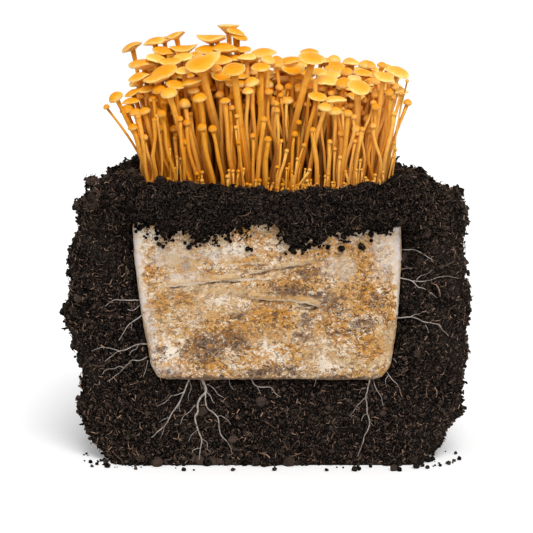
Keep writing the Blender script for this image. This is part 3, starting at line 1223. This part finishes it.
def placeOn(facts, model, rng):
    # lays the model's rings along the measured stem and cap, with small bends and waves of its own
    stemRings, outline = model["stemRings"], model["outline"]
    stemRadius, capRadius, axis = facts["stemRadius"], facts["capRadius"], facts["axis"]
    look = capShapes[facts["shape"]]
    shares = np.linspace(0, 1, stemRings)
    centres = smoothThrough(facts["line"], np.interp(shares, lineShares, range(4)))
    length = np.linalg.norm(centres[-1] - centres[0])
    calm = np.sin(shares * math.pi) ** 0.8 * mushroomLook["sway"] * length * facts.get("sway", 1.0)
    for turns in (rng.uniform(1.0, 2.2), rng.uniform(2.6, 4.5)):
        heading = rng.uniform(0, 2 * math.pi)
        bend = calm * np.sin(shares * math.pi * turns + rng.uniform(0, 6)) * (1.0 if turns < 2.5 else 0.45)
        centres = centres + bend[:, None] * np.array([math.cos(heading), 0.6 * math.sin(heading), 0])
    tangents = unitRows(np.gradient(centres, axis=0))
    tangents[-1] = unit(tangents[-1] + axis)
    angles, rings = model["angles"], model["rings"]
    girth = np.interp(shares, [0, 0.07, 0.3, 0.85, 0.96, 1], [1.3, 1.12, 1.0, 0.9, 0.94, 1.08]) * stemRadius
    girth = girth * (1 + 0.06 * np.sin(shares * rng.uniform(8, 16) + rng.uniform(0, 6)))
    stemIndex = np.minimum(rings, stemRings - 1)
    flute = 1 + 0.08 * np.cos(2 * angles + rng.uniform(0, 6)) + 0.04 * np.cos(5 * angles + rng.uniform(0, 6))
    first = unitRows(np.array([1.0, 0, 0]) - tangents * tangents[:, :1])
    second = np.cross(tangents, first)
    reach = girth[stemIndex] * flute
    onStem = centres[stemIndex] + reach[:, None] * (np.cos(angles)[:, None] * first[stemIndex]
                                                    + np.sin(angles)[:, None] * second[stemIndex])
    capIndex = np.clip(rings - stemRings, 0, len(outline) - 1)
    out, rise = outline[capIndex, 0], outline[capIndex, 1]
    above = capIndex > rimRing
    rise = np.where(above, rise * look.get("crown", 1.0), rise * look.get("below", 1.0))
    size = np.interp(capRadius * 2 / mm, [4, 9, 18], [0.15, 0.7, 1.0])
    phase = rng.uniform(0, 6, 6)
    wave = 0.055 * np.cos(2 * angles + phase[0]) + 0.04 * np.cos(3 * angles + phase[1])
    wave = wave + 0.018 * np.cos(7 * angles + phase[2])
    lift = look["waves"] * size * wave + look.get("round", 0) + look.get("sides", 0) * np.cos(angles) ** 2
    rise = rise + lift * out**2.2
    wave = 0.045 * np.cos(2 * angles + phase[3]) + 0.03 * np.cos(3 * angles + phase[4])
    edge = 1 + size * look["waves"] * (wave + 0.012 * np.cos(6 * angles + phase[5]))
    tip = look.get("point", 0) * np.maximum(np.cos(angles - 0.5), 0) ** 9 * out**2
    edge, rise, capRadius = edge + tip, rise + 0.35 * tip, capRadius * look.get("size", 1.0)
    capFirst = unit(np.array([1.0, 0, 0]) - axis * axis[0])
    capSecond = np.cross(axis, capFirst)
    capReach = out * capRadius * edge
    below = capIndex < rimRing
    capReach = np.where(below, np.maximum(capReach, stemRadius * (1.0 + 0.05 * capIndex)), capReach)
    onCap = facts["rim"] + (capReach * np.cos(angles))[:, None] * capFirst
    onCap += (capReach * np.sin(angles))[:, None] * capSecond + (rise * capRadius)[:, None] * axis
    inStem = rings < stemRings
    points = np.where(inStem[:, None], onStem, onCap)
    part = np.where(inStem, 0.0, np.where(capIndex <= rimRing, 1.0, 2.0))
    radial = np.where(inStem, 1.0, out)
    upward = np.where(inStem, shares[stemIndex], 1.0)
    place = np.stack([radial * np.cos(angles), radial * np.sin(angles), upward], axis=1)
    return points, part, place


def makeMushroomMaterial():
    material, tree, surface = newMaterial("mushroomFlesh", 0.5, 0.2)
    where = objectPlace(tree)
    part, tone = attributeOf(tree, "part"), attributeOf(tree, "tone")
    place = attributeOf(tree, "place", "Vector")
    split = addNode(tree, "ShaderNodeSeparateXYZ", {"Vector": place})
    flat = addNode(tree, "ShaderNodeCombineXYZ", {0: split.outputs[0], 1: split.outputs[1]})
    reach = addNode(tree, "ShaderNodeVectorMath", {0: flat.outputs[0]}, operation="LENGTH").outputs["Value"]
    around = calc(tree, "ARCTAN2", split.outputs[1], split.outputs[0])
    streakPlace = addNode(tree, "ShaderNodeCombineXYZ", {
        0: times(tree, split.outputs[0], 2.2), 1: times(tree, split.outputs[1], 2.2),
        2: plus(tree, times(tree, split.outputs[2], 1.1), times(tree, tone, 40))})
    streaks = noiseAt(tree, streakPlace.outputs[0], 1.6, 4, 0.6)
    mottle = noiseAt(tree, where, 240, 3, 0.6)
    speckle = noiseAt(tree, where, 900, 2, 0.6)
    upward = band(tree, split.outputs[2], 0.0, 0.85)
    stem = blendColours(tree, upward, mushroomLook["stemLow"], mushroomLook["stemHigh"])
    stem = blendColours(tree, band(tree, streaks, 0.46, 0.66, 0, 0.65), stem, mushroomLook["stemPale"])
    stem = blendColours(tree, band(tree, mottle, 0.52, 0.68, 0, 0.4), stem, mushroomLook["stemLow"])
    deep = times(tree, attributeOf(tree, "inner"), band(tree, split.outputs[2], 0.3, 0.8, 0.88, 0.0))
    foot = band(tree, split.outputs[2], 0.0, 0.25, 0.6, 0)
    stem = blendColours(tree, calc(tree, "MAXIMUM", deep, foot), stem, mushroomLook["stemDeep"])
    gills = calc(tree, "SINE", times(tree, around, 46))
    under = blendColours(tree, band(tree, gills, -0.2, 0.9, 0, 0.5), mushroomLook["capUnder"],
                         mushroomLook["gillShade"])
    rimShare = band(tree, reach, 0.86, 1.0)
    under = blendColours(tree, rimShare, under, mushroomLook["capRim"])
    under = blendColours(tree, times(tree, attributeOf(tree, "small"), 0.85), under,
                         mushroomLook["stemHigh"])
    wobble = times(tree, minus(tree, mottle, 0.5), 0.5)
    edge = plus(tree, reach, wobble)
    edge = plus(tree, edge, times(tree, minus(tree, tone, 0.5), 0.1))
    crown = blendColours(tree, band(tree, edge, 0.25, 0.80), mushroomLook["capMiddle"],
                         mushroomLook["capBody"])
    crown = blendColours(tree, band(tree, edge, 0.74, 1.02), crown, mushroomLook["capRim"])
    crown = blendColours(tree, band(tree, speckle, 0.55, 0.75, 0, 0.15), crown, mushroomLook["capRim"])
    ballShare = times(tree, attributeOf(tree, "small"), band(tree, edge, 0.6, 1.1, 0.88, 0.65))
    crown = blendColours(tree, ballShare, crown, mushroomLook["ballTop"])
    colour = blendColours(tree, band(tree, part, 0.15, 0.85), stem, under)
    colour = blendColours(tree, band(tree, part, 1.1, 1.5), colour, crown)
    shade = addNode(tree, "ShaderNodeHueSaturation", {
        "Hue": band(tree, tone, 0, 1, 0.494, 0.505), "Saturation": band(tree, tone, 0, 1, 1.05, 0.96),
        "Value": band(tree, tone, 0, 1, 0.88, 1.12), "Color": colour})
    tree.links.new(shade.outputs[0], surface.inputs["Base Color"])
    surface.inputs["Subsurface Weight"].default_value = mushroomLook["subsurface"]
    surface.inputs["Subsurface Radius"].default_value = mushroomLook["subsurfaceReach"]
    surface.inputs["Subsurface Scale"].default_value = mushroomLook["subsurfaceScale"]
    addBump(tree, surface, plus(tree, streaks, times(tree, speckle, 0.3)), mushroomLook["bumpHeight"], 0.5)
    return material


def joinMushrooms(name, members, material, models, rng):
    # one piece from many mushrooms, standing for the CAD nodes among them
    allPoints, allFaces, start = [], [], 0
    values = {"part": [], "place": [], "tone": [], "inner": [], "small": []}
    for facts in members:
        foot = facts["line"][0]
        inward = min(foot[1] - wellFront, wellFront + 96 * mm - foot[1], 94 * mm - abs(foot[0]))
        width = facts["capRadius"] * 2
        kind = "broad"
        if facts.get("pin") or width < 4.6 * mm:
            kind = "pin"
        elif width < mushroomLook["ballBelow"]:
            kind = "button"
        elif width < mushroomLook["domeBelow"]:
            kind = "dome"
        model = models[kind]
        points, part, place = placeOn(facts, model, rng)
        allPoints.append(points)
        allFaces += [[corner + start for corner in face] for face in model["faces"]]
        tone = 0.2 + 0.35 * rng.random() if facts["node"] else rng.random()
        tone += 0.42 * max(0, foot[0] / (90 * mm)) - 0.1 * max(0, -foot[0] / (90 * mm))
        inner, small = smoothStep(16 * mm, 40 * mm, inward), 1 - smoothStep(6 * mm, 13 * mm, width)
        values["part"].append(part)
        values["place"].append(place)
        for key, value in (("tone", np.clip(tone, 0, 1)), ("inner", inner), ("small", small)):
            values[key].append(np.full(len(points), value))
        start += len(points)
    values = {key: np.concatenate(numbers) for key, numbers in values.items()}
    piece = pieceFromArrays(name, np.vstack(allPoints), allFaces, material, values)
    makeActive(piece)
    bpy.ops.object.shade_smooth()
    nodes = [facts["node"] for facts in members if facts["node"]]
    if nodes:
        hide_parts(*nodes)
    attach(piece, bodyName)


# caps of the canopy between the measured ones: across, back, height, width, lean to the right and to the
# front, and the shape where it isn't domed
canopyRows = [
    (-87, 70, 120, 15, -0.2, 0.1, "wavy"), (-30, 88, 131, 15.6, 0, -0.05, "flared"),
    (-22, 76, 124, 13.5, 0.35, 0.2), (-79, 62, 113, 15.7, 0.25, 0.15, "wavy"),
    (-64, 64, 114, 19.7, 0, 0, "saddle"), (-46, 58, 114, 15.7, 0.1, 0.25),
    (-32, 60, 115, 20.4, 0.1, 0.05, "wavy"), (-19, 66, 114, 11.8, -0.1, 0.2, "wavy"),
    (-85, 52, 108, 14.1, 0.35, 0.25, "wavy"), (-73, 50, 105, 19.5, 0, 0.05, "saddle"),
    (-64, 52, 109, 14.1, -0.1, 0.3), (-35, 44, 107, 16.3, 0, 0.2), (-25, 58, 108, 11.8, 0.1, 0.2),
    (-15, 50, 109, 13.3, 0, 0.1, "wavy"), (-77, 34, 99, 18.5, -0.2, 0.3), (-62, 30, 100, 12.3, 0, 0.2),
    (-68, 20, 90, 13.7, 0.25, 0.2), (-56, 24, 91, 18.4, -0.2, -0.12, "wavy"),
    (-34, 30, 96, 13.8, 0.05, 0.45, "cupped"), (-38, 36, 101, 7.7, 0, 0.3),
    (-90, 26, 86, 12.3, -0.1, 0.1), (-101, 34, 83, 12.4, -0.3, 0.1), (-80, 17, 86, 9.1, -0.1, 0.3),
    (-71, 22, 87, 11.5, 0.1, 0.3), (-102, 28, 77, 13.1, 0, 0.05), (-105, 20, 71, 9.2, -0.1, 0.2),
    (-98, 17, 69, 8.4, -0.1, 0.1), (-91, 15, 70, 8.4, -0.2, 0.1), (-84, 22, 79, 7.7, 0, 0.2),
    (-62, 24, 74, 9.6, 0, 0.15), (-55, 24, 85, 8.4, 0, 0.2), (-26, 24, 90, 8.4, 0, 0.05),
    (-11, 22, 91, 10.7, -0.3, 0.2), (-14, 18, 85, 8, -0.05, 0.15), (-25, 22, 81, 6.1, 0.1, 0.1),
    (-35, 26, 82, 6.1, 0, 0.1), (-27, 16, 73, 4.6, 0, 0.1), (1, 34, 107, 10, 0.2, 0.2),
    (8, 40, 104, 8.5, 0, 0.25), (19, 56, 106, 14.9, -0.1, 0.1, "wavy"), (53, 84, 105, 9.6, 0, 0.2),
    (46, 74, 103, 10.3, -0.1, 0.2), (54, 66, 102, 11.9, 0.1, 0.3, "wavy"), (67, 84, 103, 12.8, 0, 0.1),
    (80, 74, 101, 9.5, 0.1, 0.15), (89, 60, 102, 7.1, 0, 0.1), (40, 50, 98, 11.7, 0, 0.3),
    (49, 60, 99, 8.7, 0, 0.2), (56, 60, 98, 10.2, 0, 0.35), (50, 46, 96, 11.7, 0, 0.3),
    (62, 56, 97, 8.6, 0, 0.3), (74, 54, 97, 12.5, 0, 0.2), (45, 38, 92, 16.3, 0.05, 0.3, "wavy"),
    (58, 30, 90, 10.8, -0.2, 0.4), (67, 44, 93, 9.3, 0, 0.3, "cupped"), (25, 46, 94, 7, 0, 0.2),
    (33, 34, 88, 7, 0.1, 0.3), (101, 22, 83, 3.8, 0.1, 0.1), (13, 60, 91, 15.8, 0, -0.1),
    (-7, 26, 91, 6.1, 0, 0.2), (83, 36, 91, 7, 0.1, 0.3), (96, 26, 88, 6.1, 0.2, 0.1),
    (25, 40, 87, 7, 0, 0.2), (92, 24, 92, 8.4, 0.1, 0.1),
]

# small pins that the photograph shows, as (foot across, foot back, cap across, cap back, height, cap, stem)
pinRows = [
    (-18, 12, -21, 10, 48, 3.2, 1.9), (-17, 14, -22, 14, 67, 4.0, 2.1), (-9, 7, -10, 6, 53, 4.5, 2.5),
    (9, 14, 8, 14, 71, 4.1, 2.5), (8, 8, 11, 8, 49, 3.4, 2.4), (6, 5, 15, 5, 42, 3.3, 2.5),
    (6, 5, 8, 4, 30, 3.0, 2.1), (16, 9, 21, 8, 54, 5.2, 3.0), (22, 16, 24, 16, 62, 4.5, 2.2),
    (18, 7, 28, 7, 46, 3.7, 2.2), (18, 6, 23, 5, 36, 2.6, 1.8), (15, 8, 17, 8, 32, 2.2, 1.5),
    (14, 5, 15, 4, 29, 2.2, 1.5), (18, 4, 19, 3, 27, 2.2, 1.5), (23, 9, 25, 9, 31, 1.9, 1.3),
    (27, 8, 29, 8, 28, 1.9, 1.3), (16, 4, 32, 3, 28, 3.0, 1.9), (51, 9, 51, 9, 43, 3.0, 1.9),
    (53, 5, 55, 5, 37, 3.7, 2.5), (59, 6, 66, 6, 49, 3.3, 2.1), (63, 8, 71, 8, 58, 3.7, 2.4),
    (67, 5, 70, 5, 35, 2.6, 1.8), (63, 7, 64, 7, 32, 2.2, 1.5), (68, 4, 67, 4, 28, 2.2, 1.6),
    (72, 4, 71, 4, 28, 2.2, 1.6), (44, 3, 46, 3, 25, 2.6, 1.8), (42, 5, 44, 5, 23, 2.6, 1.6),
    (65, 3, 59, 3, 27, 2.2, 2.1), (79, 14, 79, 12, 77, 2.2, 1.6), (-16, 10, -18, 10, 28, 2.2, 1.5),
    (-6, 4, -5, 4, 20, 3.0, 1.8), (-9, 6, -8, 6, 20, 2.2, 1.5), (-12, 2, -12, 2, 17, 2.2, 1.5),
    (14, 2, 12, 2, 17, 3.0, 1.8), (23, 2, 23, 1.5, 14, 3.0, 1.8), (26, 4, 27, 4, 17, 1.9, 1.3),
    (19, 6, 20, 6, 23, 1.9, 1.3), (53, 2, 52, 2, 13, 2.2, 1.5), (-72, 7, -72, 6, 43, 2.2, 1.5),
    (-72, 4, -68, 4, 29, 2.6, 1.8), (-71, 6, -70, 6, 32, 1.9, 1.3), (-67, 8, -67, 8, 37, 2.2, 1.5),
    (-64, 7, -64, 6, 36, 2.2, 1.5), (-55, 3, -52, 3, 25, 3.7, 1.9), (-50, 5, -48, 5, 26, 3.0, 1.6),
    (-47, 3, -48, 2.5, 20, 3.0, 1.8), (-52, 5, -51, 5, 22, 2.6, 1.6), (-29, 3, -29, 3, 23, 3.4, 2.1),
    (-27, 7, -28, 7, 27, 2.6, 1.6), (-24, 5, -25, 5, 27, 2.6, 1.6), (-23, 3, -21, 3, 27, 3.0, 1.8),
    (-18, 8, -17, 8, 28, 2.6, 1.5), (-16, 8, -21, 7, 48, 3.7, 2.1), (-20, 12, -23, 11, 59, 3.0, 1.6),
    (-25, 16, -26, 16, 73, 4.5, 2.1), (-9, 4, -8, 4, 20, 2.2, 1.5), (-4, 6, -5, 6, 19, 3.0, 1.6),
    (-32, 2, -31, 2, 15, 2.2, 1.6), (33, 6, 33, 6, 20, 2.2, 1.5), (1, 3, 1, 3, 18, 2.2, 1.5),
    (90, 16, 96, 16, 47, 2.3, 1.4), (89, 14, 97, 14, 42, 2.2, 1.3), (89, 10, 95, 12, 37, 2.2, 1.3),
    (-70, 2, -70, 2, 16, 2.2, 1.5), (-64, 2, -63, 2, 19, 2.6, 1.6), (-58, 3, -57, 3, 21, 2.2, 1.5),
    (74, 5, 74, 5, 22, 2.2, 1.5), (80, 4, 81, 4, 24, 2.6, 1.6), (88, 6, 87, 6, 26, 2.2, 1.5),
    (37, 8, 39, 8, 23, 2.2, 1.5), (91, 14, 105, 18, 93, 3.0, 1.3), (92, 15, 102, 17, 84, 2.2, 1.1),
    (-47, 9, -61, 11, 76, 8.2, 4.2), (60, 6, 66, 5, 22, 2.4, 1.7), (33, 3, 36, 2, 16, 2.6, 1.8),
    (33, 8, 20, 5, 11, 2.6, 2.0), (48, 6, 60, 3, 12, 2.6, 2.0), (70, 8, 60, 4, 17, 2.8, 2.1),
    (77, 6, 88, 3, 15, 2.6, 2.0), (84, 8, 76, 5, 19, 2.4, 1.9), (-36, 6, -44, 3, 14, 2.6, 2.0),
]


def growExtras(known, rng):
    # more mushrooms between the measured ones: the canopy's own, pins at the front, thin stems, then stubs
    taken = [np.empty((0, 3)), np.empty(0)]
    capSpots = np.array([facts["rim"] for facts in known])
    added = []

    def keep(facts, spare=None, **more):
        facts.update(more)
        centres, radii = samplesOf(facts)
        if spare is not None and not clearOf(centres, radii, taken, spare):
            return
        taken[0], taken[1] = np.vstack([taken[0], centres]), np.concatenate([taken[1], radii])
        if not facts["node"]:
            added.append(facts)

    for facts in known:
        keep(facts)
    for across, back, height, width, right, front, *shape in canopyRows:
        width, front = width * mushroomLook["canopyWider"], front + mushroomLook["canopyFront"]
        footAcross = float(np.clip(across * 0.83 + rng.normal() * 2, -89, 89))
        footBack = min(back * 0.84 + 5, 92)
        keep(growFrom((footAcross, footBack, 0), (across, back, height), width, 2.6 + 0.075 * width,
                      right, front, *shape), sway=mushroomLook["rowSway"])
    for footAcross, footBack, across, back, height, width, stemWidth in pinRows:
        keep(growFrom((footAcross, footBack, 0), (across, back, height), width * mushroomLook["pinsWider"],
                      stemWidth), mushroomLook["pinSpare"], pin=True)

    def canopyAt(across, back):
        gaps = np.hypot(capSpots[:, 0] - across * mm, (capSpots[:, 1] - wellFront - back * mm) * 1.3)
        weights = 1 / (gaps + 4 * mm) ** 2
        return float((weights * (capSpots[:, 2] - blockTop)).sum() / weights.sum()) / mm

    def fanOut(footBack):
        # how far the stems at the back lean away from the cluster, in millimetres
        return mushroomLook["backFan"] * max(0, (footBack - 62) / 30) ** 1.4

    def grow(look, footAcross, footBack, across, back, height, width, shape="domed"):
        stemWidth = rng.uniform(*look["stem"])
        right, front = rng.normal() * look["lean"], rng.uniform(*look["front"])
        keep(growFrom((footAcross, footBack, 0), (across, back, height), width, stemWidth, right, front,
                      shape), look["spare"], sway=look["sway"])

    look = mushroomLook["canopy"]
    for _ in range(look["tries"]):
        footAcross, footBack = rng.uniform(*look["footAcross"]), rng.uniform(*look["footBack"])
        across = footAcross * rng.uniform(*look["spread"])
        back = footBack + (footBack - 40) * rng.uniform(0, 0.12) + fanOut(footBack)
        height = canopyAt(across, back) * rng.uniform(*look["height"])
        shape = "wavy" if rng.random() < 0.5 else "domed"
        grow(look, footAcross, footBack, across, back, height, rng.uniform(*look["cap"]), shape)
    look = mushroomLook["thin"]
    for _ in range(look["tries"]):
        side = rng.random() < 0.5
        if side:
            footAcross = rng.choice([-1, 1]) * rng.uniform(*look["sideAcross"])
            footBack = 7 + 80 * rng.random() ** 1.2
        else:
            footAcross, footBack = rng.uniform(*look["footAcross"]), rng.uniform(*look["footBack"])
        across = footAcross * rng.uniform(*look["spread"]) + rng.normal() * 5
        across = float(np.clip(across, -95, 95))
        back = footBack + (footBack - 35) * rng.uniform(0, 0.12) + rng.normal() * 2 + fanOut(footBack) * 0.8
        height = canopyAt(across, back) * rng.uniform(*look["sideHeight" if side else "height"])
        width = rng.uniform(*look["frontCap" if footBack < 40 else "backCap"])
        grow(look, footAcross, footBack, across, back, height, width)
    look = mushroomLook["inner"]
    for _ in range(look["tries"]):
        footAcross, footBack = rng.uniform(*look["footAcross"]), rng.uniform(*look["footBack"])
        across, back = footAcross * 1.1 + rng.normal() * 2, footBack * 1.03
        height = canopyAt(across, back) * rng.uniform(*look["height"])
        grow(look, footAcross, footBack, across, back, height, rng.uniform(*look["cap"]))
    look = mushroomLook["stubs"]
    for _ in range(look["tries"]):
        footAcross = rng.uniform(*look["wide" if rng.random() < 0.5 else "right"])
        footBack, height = 0.5 + 15 * rng.random() ** 1.4, 4 + 17 * rng.random() ** 1.6
        across, back = footAcross + rng.normal() * 0.45 * height, footBack - rng.uniform(-0.15, 0.25) * height
        keep(growFrom((footAcross, footBack, 0), (across, back, height), rng.uniform(*look["cap"]),
                      rng.uniform(*look["stem"])), look["spare"], pin=True)
    return added


def makeMushrooms():
    models = {kind: modelMushroom(kind, outline) for kind, outline in capOutlines.items()}
    models["pin"] = modelMushroom("pin", capOutlines["button"])
    known = [measureNode(name) for name in sorted(frame["nodes"]) if name.startswith("mushroom_")]
    rng = np.random.default_rng(mushroomLook["seed"])
    extras = growExtras(known, rng)
    print("mushrooms added:", len(extras))
    groups = {"mushroomsLeft": [], "mushroomsMiddle": [], "mushroomsRight": [], "mushroomsBackLeft": [],
              "mushroomsBackMiddle": [], "mushroomsBackRight": [], "mushroomPins": []}
    for facts in known + extras:
        if facts.get("pin"):
            groups["mushroomPins"].append(facts)
            continue
        foot = facts["line"][0]
        side = "Left" if foot[0] < -28 * mm else "Right" if foot[0] > 28 * mm else "Middle"
        back = "Back" if foot[1] > wellFront + 40 * mm else ""
        groups["mushrooms" + back + side].append(facts)
    material = makeMushroomMaterial()
    for name, members in groups.items():
        joinMushrooms(name, members, material, models, rng)


makeMushrooms()
print("stage: mushrooms")


# mycelium strands

strandLook = {
    "thickness": 0.69,
    "pale": (0.50, 0.445, 0.40),
    "dull": (0.27, 0.22, 0.185),
    "step": 1.0 * mm,
    "wobble": 0.35 * mm,
}

# each strand as its half widths at the root and the tip, then points as (across, height), in millimetres
strandRows = [
    (0.55, 0.3, [(-95, 126), (-105, 126), (-113, 126), (-117, 124), (-121, 121)]),
    (0.5, 0.25, [(-95, 122), (-100, 118), (-104, 119)]),
    (0.6, 0.3, [(-93, 115), (-102, 108), (-106, 103), (-111, 95)]),
    (0.35, 0.2, [(-101, 108), (-101, 103)]),
    (0.65, 0.45, [(-90, 92), (-97, 92), (-104, 89), (-111, 87)]),
    (0.45, 0.25, [(-111, 87), (-118, 89), (-123, 89), (-127, 88), (-132, 86)]),
    (0.45, 0.25, [(-111, 87), (-115, 84), (-119, 81), (-122, 78)]),
    (0.35, 0.2, [(-96, 92), (-98, 88), (-101, 87), (-103, 84)]),
    (0.65, 0.45, [(-89, 83), (-95, 80), (-101, 80), (-104, 77), (-107, 74)]),
    (0.4, 0.25, [(-107, 74), (-111, 75), (-115, 73), (-121, 72), (-124, 68)]),
    (0.45, 0.25, [(-107, 74), (-112, 69), (-116, 66), (-120, 63)]),
    (0.4, 0.2, [(-89, 80), (-91, 72), (-93, 67)]),
    (0.9, 0.35, [(-58, 66), (-62, 56), (-66, 47), (-72, 38), (-74, 34), (-77, 29), (-83, 24), (-87, 20)]),
    (0.45, 0.25, [(-62, 56), (-68, 53), (-72, 52), (-77, 47), (-83, 44)]),
    (0.35, 0.2, [(-66, 47), (-66, 44), (-65, 40)]),
    (0.35, 0.2, [(-74, 35), (-79, 33), (-81, 31)]),
    (0.35, 0.2, [(-77, 29), (-78, 26), (-80, 20)]),
    (0.4, 0.2, [(-58, 66), (-57, 58), (-59, 53), (-59, 48)]),
    (1.6, 0.4, [(-49, 67), (-46, 59), (-46, 55), (-50, 51), (-52, 46), (-52, 40), (-54, 36), (-53, 30),
                (-50, 21), (-49, 17), (-50, 12), (-51, 5)]),
    (0.8, 0.35, [(-46, 54), (-46, 47), (-44, 42), (-40, 39), (-37, 35), (-36, 30), (-35, 23), (-33, 20),
                 (-29, 16), (-27, 12), (-26, 8)]),
    (0.4, 0.2, [(-37, 36), (-34, 37), (-30, 34), (-27, 30)]),
    (0.5, 0.25, [(-45, 61), (-42, 60), (-38, 56), (-36, 53), (-32, 51)]),
    (0.4, 0.2, [(-45, 55), (-42, 52), (-41, 49), (-39, 47)]),
    (0.45, 0.25, [(-54, 45), (-58, 40), (-63, 36), (-65, 30)]),
    (0.4, 0.2, [(-52, 26), (-57, 21), (-59, 17)]),
    (0.4, 0.2, [(-49, 19), (-45, 16), (-45, 12), (-42, 8)]),
    (0.4, 0.2, [(-50, 12), (-55, 11), (-56, 9)]),
    (0.4, 0.25, [(-28, 66), (-28, 62), (-25, 57)]),
    (0.6, 0.3, [(-12, 66), (-7, 60), (3, 59), (7, 54), (11, 51)]),
    (0.35, 0.2, [(-7, 60), (-4, 53)]),
    (0.75, 0.35, [(78, 67), (76, 57), (75, 51), (76, 45), (76, 39), (78, 33), (77, 27), (74, 21), (73, 17),
                  (71, 12), (69, 6)]),
    (0.35, 0.2, [(75, 58), (72, 58), (70, 54)]),
    (0.35, 0.2, [(76, 39), (73, 37), (72, 33)]),
    (0.35, 0.2, [(78, 33), (81, 29)]),
    (0.45, 0.25, [(80, 67), (82, 59), (86, 53), (87, 49), (88, 45)]),
    (0.5, 0.25, [(89, 73), (94, 66), (98, 62), (100, 59), (101, 55)]),
    (0.35, 0.2, [(92, 68), (90, 65), (90, 61)]),
    (0.4, 0.2, [(75, 51), (71, 47), (68, 43), (63, 36)]),
    (0.35, 0.2, [(38, 67), (36, 60)]),
    (0.6, 0.3, [(99, 164), (109, 164), (116, 161), (124, 156)]),
    (0.4, 0.2, [(99, 149), (104, 150), (109, 150)]),
    (0.6, 0.3, [(99, 143), (109, 140), (113, 136), (117, 135), (123, 131), (128, 127)]),
    (0.5, 0.25, [(109, 140), (117, 140), (123, 141), (129, 143), (137, 143), (144, 141)]),
    (0.4, 0.2, [(112, 141), (115, 144), (120, 146), (124, 149)]),
    (0.6, 0.3, [(97, 112), (108, 113), (113, 112), (118, 109), (123, 108), (129, 107), (132, 103),
                (137, 98)]),
    (0.45, 0.25, [(108, 113), (111, 115), (114, 115), (118, 117), (122, 116)]),
    (0.35, 0.2, [(119, 107), (122, 101)]),
    (0.35, 0.2, [(93, 84), (98, 78)]),
]


def makeStrandMaterial():
    material, tree, surface = newMaterial("myceliumThread", 0.65, 0.3)
    where = objectPlace(tree)
    colour = blendColours(tree, band(tree, noiseAt(tree, where, 220, 4, 0.6), 0.38, 0.62), strandLook["dull"],
                          strandLook["pale"])
    tree.links.new(colour, surface.inputs["Base Color"])
    addBump(tree, surface, noiseAt(tree, where, 1500, 2), 0.15 * mm, 0.6)
    return material


def soilDepths():
    # rays from the front meet the soil, its crumbs and its clods here
    points, faces, start = [], [], 0
    for name in ("soilBody", "soilCrumbsFace", "soilClods"):
        mesh = bpy.data.objects[name].data
        mesh.calc_loop_triangles()
        corners = np.empty(len(mesh.loop_triangles) * 3, np.int32)
        mesh.loop_triangles.foreach_get("vertices", corners)
        points.append(readPoints(mesh))
        faces.append(corners.reshape(-1, 3) + start)
        start += len(mesh.vertices)
    return BVHTree.FromPolygons(np.vstack(points).tolist(), np.vstack(faces).tolist())


def makeStrands():
    depths = soilDepths()
    curve = bpy.data.curves.new("myceliumStrands", "CURVE")
    curve.dimensions = "3D"
    curve.bevel_depth = 1
    curve.bevel_resolution = 1
    curve.use_fill_caps = True
    for number, (rootRadius, tipRadius, route) in enumerate(strandRows):
        route = np.array(route, float) * mm
        length = np.linalg.norm(np.diff(route, axis=0), axis=1).sum()
        count = max(4, int(length / strandLook["step"]))
        flat = smoothThrough(route, np.linspace(0, len(route) - 1, count))
        for index in range(count):
            spot = Vector((flat[index, 0], number * 0.31, flat[index, 1])) * 260
            flat[index, 0] += strandLook["wobble"] * noise.noise(spot)
            flat[index, 1] += strandLook["wobble"] * noise.noise(spot + Vector((9, 9, 9)))
        radii = np.interp(np.linspace(0, 1, count), [0, 1], [rootRadius, tipRadius])
        radii = radii * mm * strandLook["thickness"]
        found = []
        for (x, z), radius in zip(flat, radii):
            hits = [frontHit(depths, x + aside * radius, z) for aside in (-0.8, 0, 0.8)]
            found.append(min([hit.y for hit in hits if hit] or [-0.063]))
        found = np.array(found)
        eased = np.array([found[max(index - 2, 0):index + 3].min() for index in range(count)])
        eased = np.array([eased[max(index - 2, 0):index + 3].mean() for index in range(count)])
        spline = curve.splines.new("POLY")
        spline.points.add(count - 1)
        for index in range(count):
            depth = max(eased[index], cadBox[0].y) - radii[index] * 0.5
            spline.points[index].co = (flat[index, 0], depth, flat[index, 1], 1)
            spline.points[index].radius = radii[index]
    piece = bpy.data.objects.new("myceliumStrands", curve)
    bpy.context.scene.collection.objects.link(piece)
    makeActive(piece)
    bpy.ops.object.convert(target="MESH")
    piece = bpy.context.object
    piece.data.materials.append(makeStrandMaterial())
    bpy.ops.object.shade_smooth()
    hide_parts(*[name for name in frame["nodes"] if name.startswith("strand_")])
    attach(piece, bodyName)


makeStrands()
print("stage: mycelium strands")
